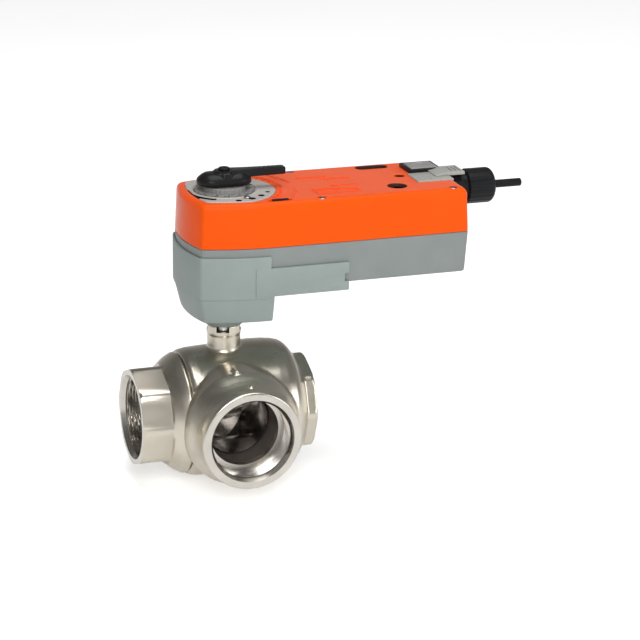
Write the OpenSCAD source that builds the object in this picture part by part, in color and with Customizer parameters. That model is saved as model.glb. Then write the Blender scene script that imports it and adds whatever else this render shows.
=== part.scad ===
// Motorised three-way zone valve: a brass ball valve carrying a spring-return rotary actuator.
// The origin is the valve centre: the stem axis is Z, the straight run lies along X,
// and the branch port points along -Y.

/* [Valve] */
// Radius of the thread bore in each port
port_r = 28.3; // [26:0.1:29]
// Radius of the ball
ball_r = 38; // [36:0.5:38]
// Radius of the flow way through the ball
way_r = 23.5; // [18:0.5:24]
// Distance from the valve centre to the left port's face
left_len = 68.6; // [66:0.1:74]
// Distance from the valve centre to the right port's face
right_len = 60; // [60:0.1:66]
// Distance from the valve centre to the branch port's face
branch_len = 70.8; // [70:0.1:76]

/* [Actuator] */
// Height of the housing's underside above the valve centre
base_z = 100; // [100:0.5:102]
// Height where the cover meets the base
split_z = 130; // [130:0.5:131]
// Height of the cover's top face
top_z = 161.6; // [161.6:0.1:163]
// Half of the housing's width
half_w = 42.4; // [42.4:0.1:44]
// Right-hand end of the housing
end_x = 168.5; // [168:0.5:172]
// Radius of the cable
cable_r = 2.95; // [2.5:0.05:3]

/* [Gears] */
// Teeth on the output gear
output_teeth = 40; // [40:1:40]
// Teeth on every pinion
pinion_teeth = 12; // [12:1:12]
// Teeth on the large wheel of the first idler
wheel_a_teeth = 48; // [48:1:48]
// Teeth on the large wheel of the second idler
wheel_b_teeth = 50; // [50:1:50]
// Teeth on the override idler
override_teeth = 40; // [40:1:40]
// Teeth on the crank spindle's gear
crank_teeth = 30; // [30:1:30]
// Backlash between meshing teeth
backlash = 0.16; // [0.1:0.02:0.3]

/* [Hidden] */
$fn = 64;

fit = 0.05;
gap = 0.3;

// Port walls
port_depth = 20;
mouth_r = 30.2;
oct_r = 36.5;
rim_r = 35;
flow_r = 25;

// Body
barrel_r = 46.4;
bulge_r = 48;
body_left = -33;
cavity_r = 41;
cavity_end = 31;
spigot_end = 28.7;
seal_x = 31.1;
seat_in = 26;
seat_out = 36;
branch_seat_out = 45;
seat_r = 28.4;
collar_r = 42;
collar_y = 45;
ring_r = 43.4;
neck_r = 11.8;
crown_r = 12.3;
crown_z = 57.8;
neck_top = 65;
notch_w = 9;
notch_z = 60.3;
notch_turn = -20;

// Stem
stem_r = 8;
stem_square = 11;
foot_r = 10.8;
foot_top = 41.9;
washer_top = 42.5;

// Housing shell
wall = 2.4;
flank_r = 152;
flank_x = 25;
nose_r = 100;
nose_x = -31.9;
nose_y = 31.5;
draft = 0.047;
top_round = 4;
bracket_grow = 1.6;
bracket_top = 124;
bracket_end = 21;
arm_end = 78.5;
arm_top = 115.5;
arm_low = 95;
box_low = 75.5;
box_ridge = 92.5;
box_end = 23.8;

// Things on the top face
dial_hole_r = 21.6;
hub_r = 12;
plate_end = 30;
switch_pos = [132.4, 3.5];
crank_pos = [121, -22];
hole_depth = 3.5;
recess_pos = [121, 31];
slot_pos = [30, -35];
slot_len = 17;
slot_w = 3.4;
slider_len = 11.4;
button_box = [141, 5.5, 24.5, 21.5];
button_top = 165.2;
bezel_w = 1.8;
cap_size = [button_box[2] - 2 * bezel_w - 0.6, button_box[3] - 2 * bezel_w - 0.6];

// Fasteners
cover_screw_x = [60, 158];
cover_screw_y = [-35.5, 35.5];
bracket_screw_x = [32, 68];
bracket_screw_y = [-28, 28];
dial_screw_x = 9;
dial_screw_y = [-25.5, 25.5];

// Cable entry
gland_y = 0;
gland_z = 151;
gland_x = 181.2;
nut_len = 21.8;
nut_r = 12.8;
cable_end = 226;
lid_end = 177.5;

// Gear train: modules, places and levels
m_out = 1.25;
m_mid = 0.8;
m_fast = 0.8;
z_out = 106;
h_out = 7;
z_mid = 115;
z_fast = 120.5;
h_fast = 3.5;
axle_r = 1.5;
pressure = 25;
function pitch(m, n) = m * n / 2;
d_oa = pitch(m_out, output_teeth) + pitch(m_out, pinion_teeth);
d_ab = pitch(m_mid, wheel_a_teeth) + pitch(m_mid, pinion_teeth);
d_bm = pitch(m_fast, wheel_b_teeth) + pitch(m_fast, pinion_teeth);
d_mi = pitch(m_fast, override_teeth) + pitch(m_fast, pinion_teeth);
d_ik = pitch(m_fast, override_teeth) + pitch(m_fast, crank_teeth);
function polar(p, r, a) = [p.x + r * cos(a), p.y + r * sin(a)];
function dir(p, q) = atan2(q.y - p.y, q.x - p.x);
function meet(p, rp, q, rq) =
    let (d = norm(q - p), a = acos((rp * rp + d * d - rq * rq) / (2 * rp * d)))
    polar(p, rp, dir(p, q) + a);
pos_o = [0, 0];
pos_i = polar(crank_pos, d_ik, 155);
pos_m = polar(pos_i, d_mi, 175);
pos_a = polar(pos_o, d_oa, 5);
pos_b = meet(pos_a, d_ab, pos_m, d_bm);
// The turn that puts gear 2's gap opposite gear 1's tooth, for gear 1 turned by t1
function mesh(p1, n1, t1, p2, n2) =
    dir(p1, p2) + 180 - (360 / n2) * (0.5 - (dir(p1, p2) - t1) * n1 / 360);
turn_o = 0;
turn_a = mesh(pos_o, output_teeth, turn_o, pos_a, pinion_teeth);
turn_b = mesh(pos_a, wheel_a_teeth, turn_a, pos_b, pinion_teeth);
turn_m = mesh(pos_b, wheel_b_teeth, turn_b, pos_m, pinion_teeth);
turn_i = mesh(pos_m, pinion_teeth, turn_m, pos_i, override_teeth);
turn_k = mesh(pos_i, override_teeth, turn_i, crank_pos, crank_teeth);

// Involute spur gear outline
function inv(a) = tan(a) * 180 / PI - a;
function roll_at(rb, r) = r <= rb ? 0 : acos(rb / r);
function half_tooth(m, n, r) =
    let (rp = pitch(m, n), rb = rp * cos(pressure))
    (90 / n) - (backlash / 2) / rp * 90 / PI + inv(pressure) - inv(roll_at(rb, r));
function flank_radii(m, n) =
    let (rp = pitch(m, n), rb = rp * cos(pressure), root = rp - 1.2 * m, tip = rp + 0.95 * m,
         start = max(root, rb))
    concat(root < rb ? [root] : [], [for (i = [0:3]) start + (tip - start) * i / 3]);
module gear2d(m, n) {
    radii = flank_radii(m, n);
    count = len(radii) - 1;
    polygon([for (k = [0:n - 1]) each concat(
        [for (i = [0:count]) polar([0, 0], radii[i], k * 360 / n - half_tooth(m, n, radii[i]))],
        [for (i = [count:-1:0]) polar([0, 0], radii[i], k * 360 / n + half_tooth(m, n, radii[i]))])]);
}
module spur(m, n, h, turn) {
    rotate([0, 0, turn]) linear_extrude(h) gear2d(m, n);
}

module at(p, z = 0) {
    translate([p.x, p.y, z]) children();
}
module tube(ro, ri, h) {
    difference() {
        cylinder(r = ro, h = h);
        translate([0, 0, -1]) cylinder(r = ri, h = h + 2);
    }
}
module along_x(x) {
    translate([x, 0, 0]) rotate([0, 90, 0]) children();
}
module cylinder_x(r, x0, x1) {
    along_x(x0) cylinder(r = r, h = x1 - x0);
}

// Plan outline of the housing, grown outwards by e
function flank(x, e) = half_w - flank_r + sqrt(pow(flank_r + e, 2) - pow(flank_x - x, 2));
function nose(y, e) = nose_x + nose_r - sqrt(pow(nose_r + e, 2) - y * y);
function half_outline(e, end) = concat(
    [for (y = [0:7:21]) [nose(y, e), y]],
    [[nose(nose_y - 2.5 + e, e), nose_y - 2.5 + e], [nose(nose_y, e) + 0.6, nose_y + 0.4 + e],
     [nose(nose_y, e) + 2.6, flank(-25, e) - 0.4]],
    [for (x = [-18, -8, 2, 12, bracket_end]) [x, flank(x, e)]],
    end > flank_x ? [[flank_x, half_w + e], [end, half_w + e]] : [[end, flank(end, e)]]);
function outline(e, end) = let (h = half_outline(e, end)) concat(
    h, [for (i = [len(h) - 1:-1:1]) [h[i].x, -h[i].y]]);
module slab(e, end, z, h = 0.01) {
    translate([0, 0, z]) linear_extrude(h) polygon(outline(e, end));
}

// Port outside: an octagon with its rim turned down to a circle, pointing along +Z
module port_end(length) {
    intersection() {
        cylinder(r = oct_r, h = length, $fn = 8);
        union() {
            cylinder(r = oct_r + 1, h = length - 1.6);
            translate([0, 0, length - 1.6]) cylinder(r1 = oct_r, r2 = rim_r, h = 1.6);
        }
    }
}
// Port inside, with its mouth at z = 0 and the way running down
module port_way(depth) {
    translate([0, 0, -port_depth - 0.01]) cylinder(r = port_r, h = port_depth + 1);
    translate([0, 0, port_r - mouth_r]) cylinder(r1 = port_r, r2 = mouth_r + 1, h = mouth_r - port_r + 1);
    translate([0, 0, -depth]) cylinder(r = flow_r, h = depth);
}

module valve_body() {
    color("tan") difference() {
        union() {
            along_x(0) rotate_extrude() polygon([
                [0, body_left], [42.8, body_left], [44, body_left + 0.6], [45.2, -30],
                [46.2, -25], [barrel_r, -18], [bulge_r, 22], [47.6, 32], [46.9, 38],
                [45.6, 43], [43.8, 45.6], [41, 48], [36.6, 50.4], [0, 50.4]]);
            along_x(40) port_end(right_len - 40);
            rotate([90, 0, 0]) rotate_extrude() polygon([
                [0, 0], [collar_r, 0], [collar_r, collar_y], [40.4, 49], [37.4, 57], [36.3, 63],
                [rim_r + 0.9, branch_len - 1.2], [rim_r, branch_len], [0, branch_len]]);
            cylinder(r = neck_r, h = crown_z + 1);
            translate([0, 0, crown_z]) cylinder(r = crown_r, h = neck_top - crown_z);
        }
        along_x(-collar_r - 3) cylinder(r = ring_r + gap, h = collar_r + 3 + body_left);
        along_x(body_left - 1) cylinder(r = cavity_r, h = cavity_end - body_left + 1);
        cylinder_x(seat_r + 0.1, seat_in, seat_out);
        along_x(right_len) port_way(right_len - seat_out + 1);
        rotate([90, 0, 0]) translate([0, 0, seat_in])
            cylinder(r = seat_r + 0.1, h = branch_seat_out - seat_in);
        rotate([90, 0, 0]) translate([0, 0, branch_len]) port_way(branch_len - branch_seat_out + 1);
        cylinder(r = stem_r + 0.06, h = neck_top + 1);
        cylinder(r = foot_r + 0.5, h = washer_top);
        translate([0, 0, 50]) cylinder(r = 9.9, h = neck_top);
        for (a = [0, 90]) rotate([0, 0, a + notch_turn])
            translate([-crown_r - 1, -notch_w / 2, notch_z]) cube([2 * crown_r + 2, notch_w, 6]);
    }
}

module end_connector() {
    color("tan") difference() {
        union() {
            along_x(-46) mirror([0, 0, 1]) port_end(left_len - 46);
            along_x(0) rotate_extrude() polygon([
                [0, -46.5], [35.8, -46.5], [40.2, -41.2], [41.2, -39.6], [ring_r, -35.4],
                [ring_r, -34.3], [42.5, -33.4], [cavity_r - 0.1, -33.4],
                [cavity_r - 0.1, -spigot_end], [0, -spigot_end]]);
        }
        along_x(-left_len) mirror([0, 0, 1]) port_way(left_len - seat_out + 1);
        cylinder_x(seat_r + 0.1, -seat_out, 0);
        along_x(-seal_x - 1.2) tube(cavity_r + 1, 38.5, 2.4);
    }
}

module connector_seal() {
    color("dimgray") along_x(-seal_x) rotate_extrude() translate([39.75, 0]) circle(r = 1.15, $fn = 24);
}

module ball() {
    color("gainsboro") difference() {
        sphere(r = ball_r, $fn = 96);
        rotate([90, 0, 0]) translate([0, 0, -20]) cylinder(r = way_r, h = ball_r + 30);
        along_x(-ball_r - 10) cylinder(r = way_r, h = ball_r + 30);
        translate([-6.1, -15, 32]) cube([12.2, 30, 10]);
    }
}

// Seat ring: its outer edge is coned at 45 degrees, so that neighbouring seats clear each other
module seat(out) {
    difference() {
        intersection() {
            translate([0, 0, seat_in]) tube(seat_r, flow_r, out - seat_in);
            translate([0, 0, gap]) cylinder(r1 = 0, r2 = out, h = out);
        }
        sphere(r = ball_r + 0.1, $fn = 96);
    }
}
module seat_left() {
    color("white") rotate([0, -90, 0]) seat(seat_out);
}
module seat_right() {
    color("white") rotate([0, 90, 0]) seat(seat_out);
}
module seat_branch() {
    color("white") rotate([90, 0, 0]) seat(branch_seat_out);
}

module valve_stem() {
    color("silver") difference() {
        union() {
            translate([-6, -9.5, 32.2]) cube([12, 19, 6.6]);
            translate([0, 0, 38.7]) cylinder(r = foot_r, h = foot_top - 38.7);
            translate([0, 0, foot_top - 0.1]) cylinder(r = stem_r, h = 64.1 - foot_top);
            translate([-stem_square / 2, -stem_square / 2, 64]) cube([stem_square, stem_square, 16]);
        }
        for (z = [45, 48]) translate([0, 0, z - 1]) difference() {
            cylinder(r = stem_r + 1, h = 2);
            translate([0, 0, -1]) cylinder(r = 6.3, h = 4);
        }
    }
}

module thrust_washer() {
    color("white") translate([0, 0, foot_top]) tube(foot_r, stem_r + 0.06, washer_top - foot_top);
}

module stem_o_rings() {
    color("dimgray") for (z = [45, 48])
        translate([0, 0, z]) rotate_extrude() translate([7.17, 0]) circle(r = 0.85, $fn = 24);
}

module gland_ring() {
    color("goldenrod") translate([0, 0, 50.1]) tube(9.8, stem_r + 0.06, 6);
}

module mounting_bracket() {
    color("lightslategray") difference() {
        union() {
            slab(bracket_grow, arm_end, arm_low, arm_top - arm_low);
            slab(bracket_grow, bracket_end + 0.01, box_ridge, bracket_top - box_ridge);
            hull() {
                slab(bracket_grow - 1, box_end, arm_low - 0.2);
                slab(bracket_grow - 1, box_end, box_ridge);
                slab(bracket_grow - 5, box_end, box_low);
            }
            translate([0, 0, neck_top + 0.1]) cylinder(r1 = 13.8, r2 = 17, h = 5);
            translate([0, 0, neck_top + 5]) cylinder(r = 17, h = 8);
        }
        slab(0.1, arm_end + 5, base_z, 40);
        translate([arm_end - 4, -50, 102]) cube([5, 100, 6]);
        translate([0, 0, box_low + 3]) linear_extrude(base_z - box_low) difference() {
            translate([-21, -30]) square([40, 60]);
            circle(r = 16);
        }
        translate([0, 0, 60]) cylinder(r = 12.6, h = base_z - 50);
        for (x = bracket_screw_x, y = bracket_screw_y)
            translate([x, y, arm_low - 1]) cylinder(r = 2.1, h = 10);
    }
}

module bracket_screws() {
    color("silver") for (x = bracket_screw_x, y = bracket_screw_y) translate([x, y, arm_low - 2]) {
        difference() {
            cylinder(r = 3.6, h = 2);
            translate([0, 0, -1]) cylinder(r = 1.6, h = 2, $fn = 6);
        }
        translate([0, 0, 1.9]) cylinder(r = 2, h = 12);
    }
}

module drive_adapter() {
    color("silver") difference() {
        union() {
            translate([0, 0, neck_top + 0.4]) cylinder(r = 11, h = 88.4 - neck_top - 0.4);
            translate([0, 0, 88]) cylinder(r = stem_r, h = 77);
            translate([-4.5, -4.5, 164]) cube([9, 9, 10]);
        }
        translate([-stem_square / 2 - 0.05, -stem_square / 2 - 0.05, 64])
            cube([stem_square + 0.1, stem_square + 0.1, 16.5]);
    }
}

module base_housing() {
    color("slategray") difference() {
        union() {
            difference() {
                hull() {
                    slab(-draft * (split_z - base_z), end_x - 1.4, base_z);
                    slab(-0.05, end_x, split_z - 0.2);
                }
                slab(-wall - 1, end_x - wall - 1, base_z + 3, split_z);
            }
            for (x = bracket_screw_x, y = bracket_screw_y) at([x, y], base_z + 2.9) cylinder(r = 4, h = 9);
            for (x = cover_screw_x, y = cover_screw_y)
                at([x, y], base_z + 2.9) cylinder(r = 3.4, h = split_z - base_z - 3.1);
            for (p = [pos_a, pos_b, pos_i]) at(p, base_z + 2.9) cylinder(r = 3, h = 2);
        }
        translate([0, 0, base_z - 1]) cylinder(r = hub_r + 3, h = 10);
        for (x = bracket_screw_x, y = bracket_screw_y) at([x, y], base_z - 1) cylinder(r = 2, h = 10.1);
        for (x = cover_screw_x, y = cover_screw_y) at([x, y], base_z + 10) cylinder(r = 1.5, h = 30);
        for (p = [pos_a, pos_b, pos_i]) at(p, base_z + 1.5) cylinder(r = axle_r, h = 5);
        at(crank_pos, base_z + 1.5) cylinder(r = 3.05, h = 5);
    }
}

module base_bush() {
    color("darkgoldenrod") difference() {
        union() {
            translate([0, 0, base_z + 0.4]) cylinder(r = hub_r + 3, h = 2.6);
            translate([0, 0, base_z + 3]) cylinder(r = hub_r + 5, h = 1.5);
        }
        translate([0, 0, base_z - 1]) cylinder(r = hub_r + fit, h = 10);
    }
}

module top_cover() {
    color("orangered") difference() {
        hull() {
            slab(-0.05, end_x, split_z);
            slab(-1.3, end_x - 1.2, top_z - top_round);
            slab(-2.5, end_x - 2.4, top_z - 1.2);
            slab(-1.3 - top_round, end_x - 1.2 - top_round, top_z);
        }
        slab(-wall - 2, end_x - wall - 2, split_z - 1, top_z - split_z - 1.6);
        cylinder(r = dial_hole_r, h = 200);
        translate([0, 0, top_z - 1.5]) linear_extrude(5) intersection() {
            polygon(outline(-7, 100));
            translate([-50, -50]) square([50 + plate_end, 100]);
        }
        at(switch_pos, 140) cylinder(r = 3.8, h = 30);
        at(crank_pos, 140) cylinder(r = 6.7, h = 30);
        at(recess_pos, top_z - 1.2) {
            translate([-7, 0]) cylinder(r = 4.6, h = 5);
            translate([7, 0]) cylinder(r = 4.6, h = 5);
            translate([-7, -4.6, 0]) cube([14, 9.2, 5]);
        }
        translate([slot_pos.x - slot_len / 2, slot_pos.y - slot_w / 2, top_z - 5])
            cube([slot_len, slot_w, 9]);
        translate([button_box.x + 1, button_box.y + 1, top_z - 5])
            cube([button_box[2] - 2, button_box[3] - 2, 9]);
        translate([138.4, -18.1, top_z - 1.2]) cube([27.7, 22.6, 5]);
        translate([158, gland_y, gland_z]) rotate([0, 90, 0]) cylinder(r = 8, h = 20);
        for (x = cover_screw_x, y = cover_screw_y) at([x, y], 140) cylinder(r = 1.7, h = 30);
        for (x = cover_screw_x, y = cover_screw_y) at([x, y], top_z - 1.6) cylinder(r = 3.2, h = 5);
    }
}

module cover_screws() {
    color("silver") for (x = cover_screw_x, y = cover_screw_y) at([x, y]) {
        translate([0, 0, split_z - 10]) cylinder(r = 1.45, h = top_z - 1.5 - split_z + 10);
        difference() {
            translate([0, 0, top_z - 1.6]) cylinder(r = 2.9, h = 1.5);
            translate([-3, -0.4, top_z - 0.8]) cube([6, 0.8, 2]);
            translate([-0.4, -3, top_z - 0.8]) cube([0.8, 6, 2]);
        }
    }
}

module dial_plate() {
    color("lightgray") difference() {
        translate([0, 0, top_z - 1.4]) linear_extrude(2) intersection() {
            polygon(outline(-7.2, 100));
            translate([-50, -50]) square([49.8 + plate_end, 100]);
        }
        cylinder(r = dial_hole_r, h = 200);
        for (y = dial_screw_y) at([dial_screw_x, y], top_z - 2) cylinder(r = 1.3, h = 5);
        translate([slot_pos.x - slot_len / 2 - 1, slot_pos.y - slot_w / 2 - 1, top_z - 5])
            cube([slot_len, slot_w + 2, 9]);
    }
}

module dial_screws() {
    color("silver") for (y = dial_screw_y) at([dial_screw_x, y]) {
        translate([0, 0, top_z - 1.4]) cylinder(r = 1.25, h = 2.1);
        difference() {
            translate([0, 0, top_z + 0.65]) cylinder(r = 2.4, h = 1.4);
            translate([-3, -0.4, top_z + 1.5]) cube([6, 0.8, 2]);
        }
    }
}

module position_ring() {
    color("gray") difference() {
        union() {
            translate([0, 0, top_z - 2]) cylinder(r = dial_hole_r - gap, h = 4);
            translate([0, 0, top_z + 1.9]) cylinder(r = 15, h = 2.6);
            translate([8, -2.5, top_z + 1.9]) cube([12.5, 5, 1.4]);
        }
        cylinder(r = stem_r, h = 200);
        for (a = [60:60:300]) rotate([0, 0, a]) translate([18.3, 0, top_z + 1]) cylinder(r = 1.4, h = 3);
    }
}

module lever_handle() {
    color("black") difference() {
        union() {
            hull() for (x = [-9, 9]) translate([x, 0, 166.6]) cylinder(r = 10.7, h = 7.4, $fn = 32);
            hull() {
                translate([0, 0, 171.4]) cylinder(r = 6.5, h = 4.8, $fn = 32);
                translate([40.6, 0, 172]) cylinder(r = 3.6, h = 4.2, $fn = 32);
            }
            translate([0, 0, 173.9]) cylinder(r = 7.2, h = 2.6);
        }
        translate([-4.55, -4.55, 160]) cube([9.1, 9.1, 14.2]);
        cylinder(r = 2.1, h = 200);
    }
}

module handle_screw() {
    color("black") difference() {
        translate([0, 0, 176.6]) cylinder(r = 4, h = 1.8);
        translate([0, 0, 177.2]) cylinder(r = 2, h = 2, $fn = 6);
    }
}

module stop_slider() {
    color("black") translate([slot_pos.x, slot_pos.y, 0]) {
        translate([-slider_len / 2, -slot_w / 2 + gap, top_z - 3]) cube([slider_len, slot_w - 2 * gap, 4]);
        translate([-slider_len / 2 - 1, -2.8, top_z - 4.3]) cube([slider_len + 2, 5.6, 1.35]);
    }
}

module output_gear() {
    color("ivory") difference() {
        union() {
            translate([0, 0, z_out]) spur(m_out, output_teeth, h_out, turn_o);
            translate([0, 0, base_z + 0.6]) cylinder(r = hub_r, h = top_z - 2.2 - base_z - 0.6);
        }
        translate([0, 0, 90]) cylinder(r = stem_r, h = 80);
    }
}

// Idler: a large wheel and a pinion on one hub, turning on a fixed axle
module idler_gear_a() {
    color("ivory") at(pos_a) difference() {
        union() {
            translate([0, 0, z_out - 0.5]) spur(m_out, pinion_teeth, h_out + 1, turn_a);
            translate([0, 0, z_mid]) spur(m_mid, wheel_a_teeth, 4, turn_a);
            translate([0, 0, z_out]) cylinder(r = 5, h = z_mid - z_out + 1);
        }
        translate([0, 0, 100]) cylinder(r = axle_r + fit, h = 40);
    }
}

module idler_gear_b() {
    color("ivory") at(pos_b) difference() {
        union() {
            translate([0, 0, z_mid - 0.5]) spur(m_mid, pinion_teeth, 5, turn_b);
            translate([0, 0, z_fast]) spur(m_fast, wheel_b_teeth, h_fast, turn_b);
            translate([0, 0, z_mid]) cylinder(r = 3.6, h = z_fast - z_mid + 1);
        }
        translate([0, 0, 100]) cylinder(r = axle_r + fit, h = 40);
    }
}

module motor_pinion() {
    color("silver") at(pos_m) {
        translate([0, 0, z_fast - 0.5]) spur(m_fast, pinion_teeth, h_fast + 1, turn_m);
        translate([0, 0, 108]) cylinder(r = 1, h = z_fast - 108);
    }
}

module override_idler() {
    color("ivory") at(pos_i) difference() {
        translate([0, 0, z_fast]) spur(m_fast, override_teeth, h_fast, turn_i);
        translate([0, 0, 100]) cylinder(r = axle_r + fit, h = 40);
    }
}

module crank_spindle() {
    color("goldenrod") at(crank_pos) difference() {
        union() {
            translate([0, 0, z_fast]) spur(m_fast, crank_teeth, h_fast, turn_k);
            translate([0, 0, base_z + 1.6]) cylinder(r = 3, h = z_fast - base_z - 1);
            translate([0, 0, z_fast + h_fast - 0.5]) cylinder(r = 4, h = 16);
            translate([0, 0, 138]) cylinder(r = 6.3, h = top_z - hole_depth - 138);
        }
        translate([0, 0, 146]) cylinder(r = 3.7, h = 30, $fn = 6);
    }
}

module gear_axles() {
    color("silver") for (p = [pos_a, pos_b, pos_i])
        at(p, base_z + 1.6) cylinder(r = axle_r, h = 129.4 - base_z - 1.6);
}

module gear_plate() {
    color("silver") difference() {
        translate([-18, -26, 127.5]) cube([150, 57, 1.6]);
        translate([0, 0, 120]) cylinder(r = hub_r + 1, h = 20);
        for (p = [pos_a, pos_b, pos_i]) at(p, 120) cylinder(r = axle_r, h = 20);
        at(crank_pos, 120) cylinder(r = 4.6, h = 20);
        at(crank_pos, 120) translate([-4.6, -20, 0]) cube([9.2, 20, 20]);
    }
}

module drive_motor() {
    color("silver") at(pos_m) difference() {
        union() {
            translate([0, 0, base_z + 3.1]) cylinder(r = 13, h = 15);
            translate([0, 0, base_z + 18]) cylinder(r = 4, h = 1.5);
        }
        translate([0, 0, 107.9]) cylinder(r = 1 + fit, h = 20);
    }
}

module spring_case() {
    color("silver") difference() {
        translate([0, 0, 131]) cylinder(r = 27.4, h = 16);
        translate([0, 0, 132]) cylinder(r = 26.6, h = 16);
        translate([0, 0, 120]) cylinder(r = hub_r + 0.6, h = 40);
    }
}

// Flat spiral strip from the hub out to the case
spring_turns = 4;
spring_in = 13.4;
spring_pitch = 2.9;
spring_t = 0.7;
function spiral(a) = spring_in + spring_pitch * a / 360;
module return_spring() {
    steps = spring_turns * 20;
    color("steelblue") translate([0, 0, 133]) linear_extrude(12) polygon(concat(
        [for (i = [0:steps]) polar([0, 0], spiral(i * 18), i * 18)],
        [for (i = [steps:-1:0]) polar([0, 0], spiral(i * 18) + spring_t, i * 18)]));
}

board_z = 141;
module circuit_board() {
    color("seagreen") difference() {
        translate([68, -33, board_z]) cube([92, 66, 1.6]);
        at(crank_pos, board_z - 1) cylinder(r = 8, h = 4);
        for (x = cover_screw_x, y = cover_screw_y) at([x, y], board_z - 1) cylinder(r = 4.5, h = 4);
    }
}

module board_components() {
    color("dimgray") {
        for (y = [-18, 0]) translate([82, y, board_z + 1.7]) cylinder(r = 5.5, h = 13);
        translate([92, 8, board_z + 1.7]) cube([20, 16, 11]);
        translate([90, -24, board_z + 1.7]) cube([12, 12, 3]);
        translate([150, 13, board_z + 1.7]) cube([7, 7, 5]);
    }
}

module terminal_block() {
    color("darkgreen") difference() {
        translate([138, -17, board_z + 1.7]) cube([12, 15, 10]);
        for (y = [-13.5, -9.5, -5.5]) translate([143, y, board_z + 8]) cylinder(r = 1.4, h = 6);
    }
}

module direction_switch() {
    color("white") at(switch_pos) difference() {
        translate([0, 0, board_z + 1.9]) cylinder(r = 3.4, h = top_z - hole_depth - board_z - 1.9);
        translate([-3, -0.6, top_z - hole_depth - 1.6]) cube([6, 1.2, 3]);
    }
}

module button_bezel() {
    color("black") difference() {
        translate([button_box.x, button_box.y, top_z + 0.05])
            cube([button_box[2], button_box[3], button_top - top_z - 0.6]);
        translate([button_box.x + bezel_w, button_box.y + bezel_w, top_z - 1])
            cube([button_box[2] - 2 * bezel_w, button_box[3] - 2 * bezel_w, 20]);
    }
}

module push_button() {
    color("darkgray") translate([button_box.x, button_box.y, 0]) {
        translate([bezel_w + gap, bezel_w + gap, top_z - 1.6])
            cube([cap_size.x, cap_size.y, button_top - top_z + 1.6]);
        translate([12, 11, board_z + 9]) cylinder(r = 2, h = top_z - 1.5 - board_z - 9);
    }
}

module button_spring() {
    color("silver") translate([button_box.x + 12, button_box.y + 11, board_z + 8]) {
        for (i = [0:4])
            translate([0, 0, 1 + i * 1.6]) rotate_extrude($fn = 24)
                translate([3, 0]) circle(r = 0.3, $fn = 8);
    }
}

module terminal_cover() {
    color("darkgray") translate([138.6, -17.9, top_z - 1.1]) cube([27.3, 22.2, 2.1]);
}

module cable_lid() {
    color("darkgray") difference() {
        union() {
            hull() {
                translate([155, -10, top_z + 1.1]) cube([2, 15, 0.4]);
                translate([166, -10, top_z + 1.1]) cube([lid_end - 166, 15, 2.6]);
            }
            translate([166, 0, top_z + 1.1]) cube([lid_end - 166, 8, 2.6]);
        }
        translate([164, -6, top_z + 2.9]) cube([3, 10, 3]);
    }
}

module gland_body() {
    color("black") translate([0, gland_y, gland_z]) difference() {
        union() {
            along_x(160) cylinder(r = 7.9, h = 10);
            along_x(end_x + 0.3) rotate([0, 0, 30]) cylinder(r = 12, h = gland_x - end_x - 0.5, $fn = 6);
        }
        along_x(150) cylinder(r = 5.5, h = 60);
    }
}

module gland_nut() {
    color("black") translate([0, gland_y, gland_z]) difference() {
        along_x(gland_x) rotate_extrude() polygon([
            [0, 0], [nut_r - 0.6, 0], [nut_r, 0.6], [nut_r, nut_len - 5], [nut_r - 1.2, nut_len - 2],
            [nut_r - 4, nut_len], [0, nut_len]]);
        along_x(gland_x - 1) cylinder(r = 5.5, h = nut_len - 2);
        along_x(gland_x) cylinder(r = cable_r + 0.15, h = nut_len + 1);
    }
}

module gland_seal() {
    color("dimgray") translate([0, gland_y, gland_z])
        along_x(gland_x - 8) tube(5.4, cable_r + 0.1, 15);
}

// The cable runs straight out of the housing through the gland
route = [[158, 0, 151], [192, 0, 151], [203, 0, 151], [214, 0, 151], [cable_end, 0, 151]];
cable_sides = 12;
module supply_cable() {
    points = [for (p = route, k = [0:cable_sides - 1])
        p + [0, cable_r * cos(k * 30), cable_r * sin(k * 30)]];
    last = (len(route) - 1) * cable_sides;
    color("black") polyhedron(points, concat(
        [[for (k = [0:cable_sides - 1]) k]],
        [[for (k = [cable_sides - 1:-1:0]) last + k]],
        [for (r = [0:len(route) - 2], k = [0:cable_sides - 1])
            let (a = r * cable_sides, b = a + cable_sides, n = (k + 1) % cable_sides)
            [a + k, b + k, b + n, a + n]]));
}

valve_body();
end_connector();
connector_seal();
ball();
seat_left();
seat_right();
seat_branch();
valve_stem();
thrust_washer();
stem_o_rings();
gland_ring();
mounting_bracket();
bracket_screws();
drive_adapter();
base_housing();
base_bush();
top_cover();
cover_screws();
dial_plate();
dial_screws();
position_ring();
lever_handle();
handle_screw();
stop_slider();
output_gear();
idler_gear_a();
idler_gear_b();
motor_pinion();
override_idler();
crank_spindle();
gear_axles();
gear_plate();
drive_motor();
spring_case();
return_spring();
circuit_board();
board_components();
terminal_block();
direction_switch();
button_bezel();
push_button();
button_spring();
terminal_cover();
cable_lid();
gland_body();
gland_nut();
gland_seal();
supply_cable();
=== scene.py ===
"""Motorised zone valve: the visible shells, valve body, dial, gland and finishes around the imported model."""

import math

import bmesh
import bpy
from mathutils import Matrix, Vector


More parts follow.
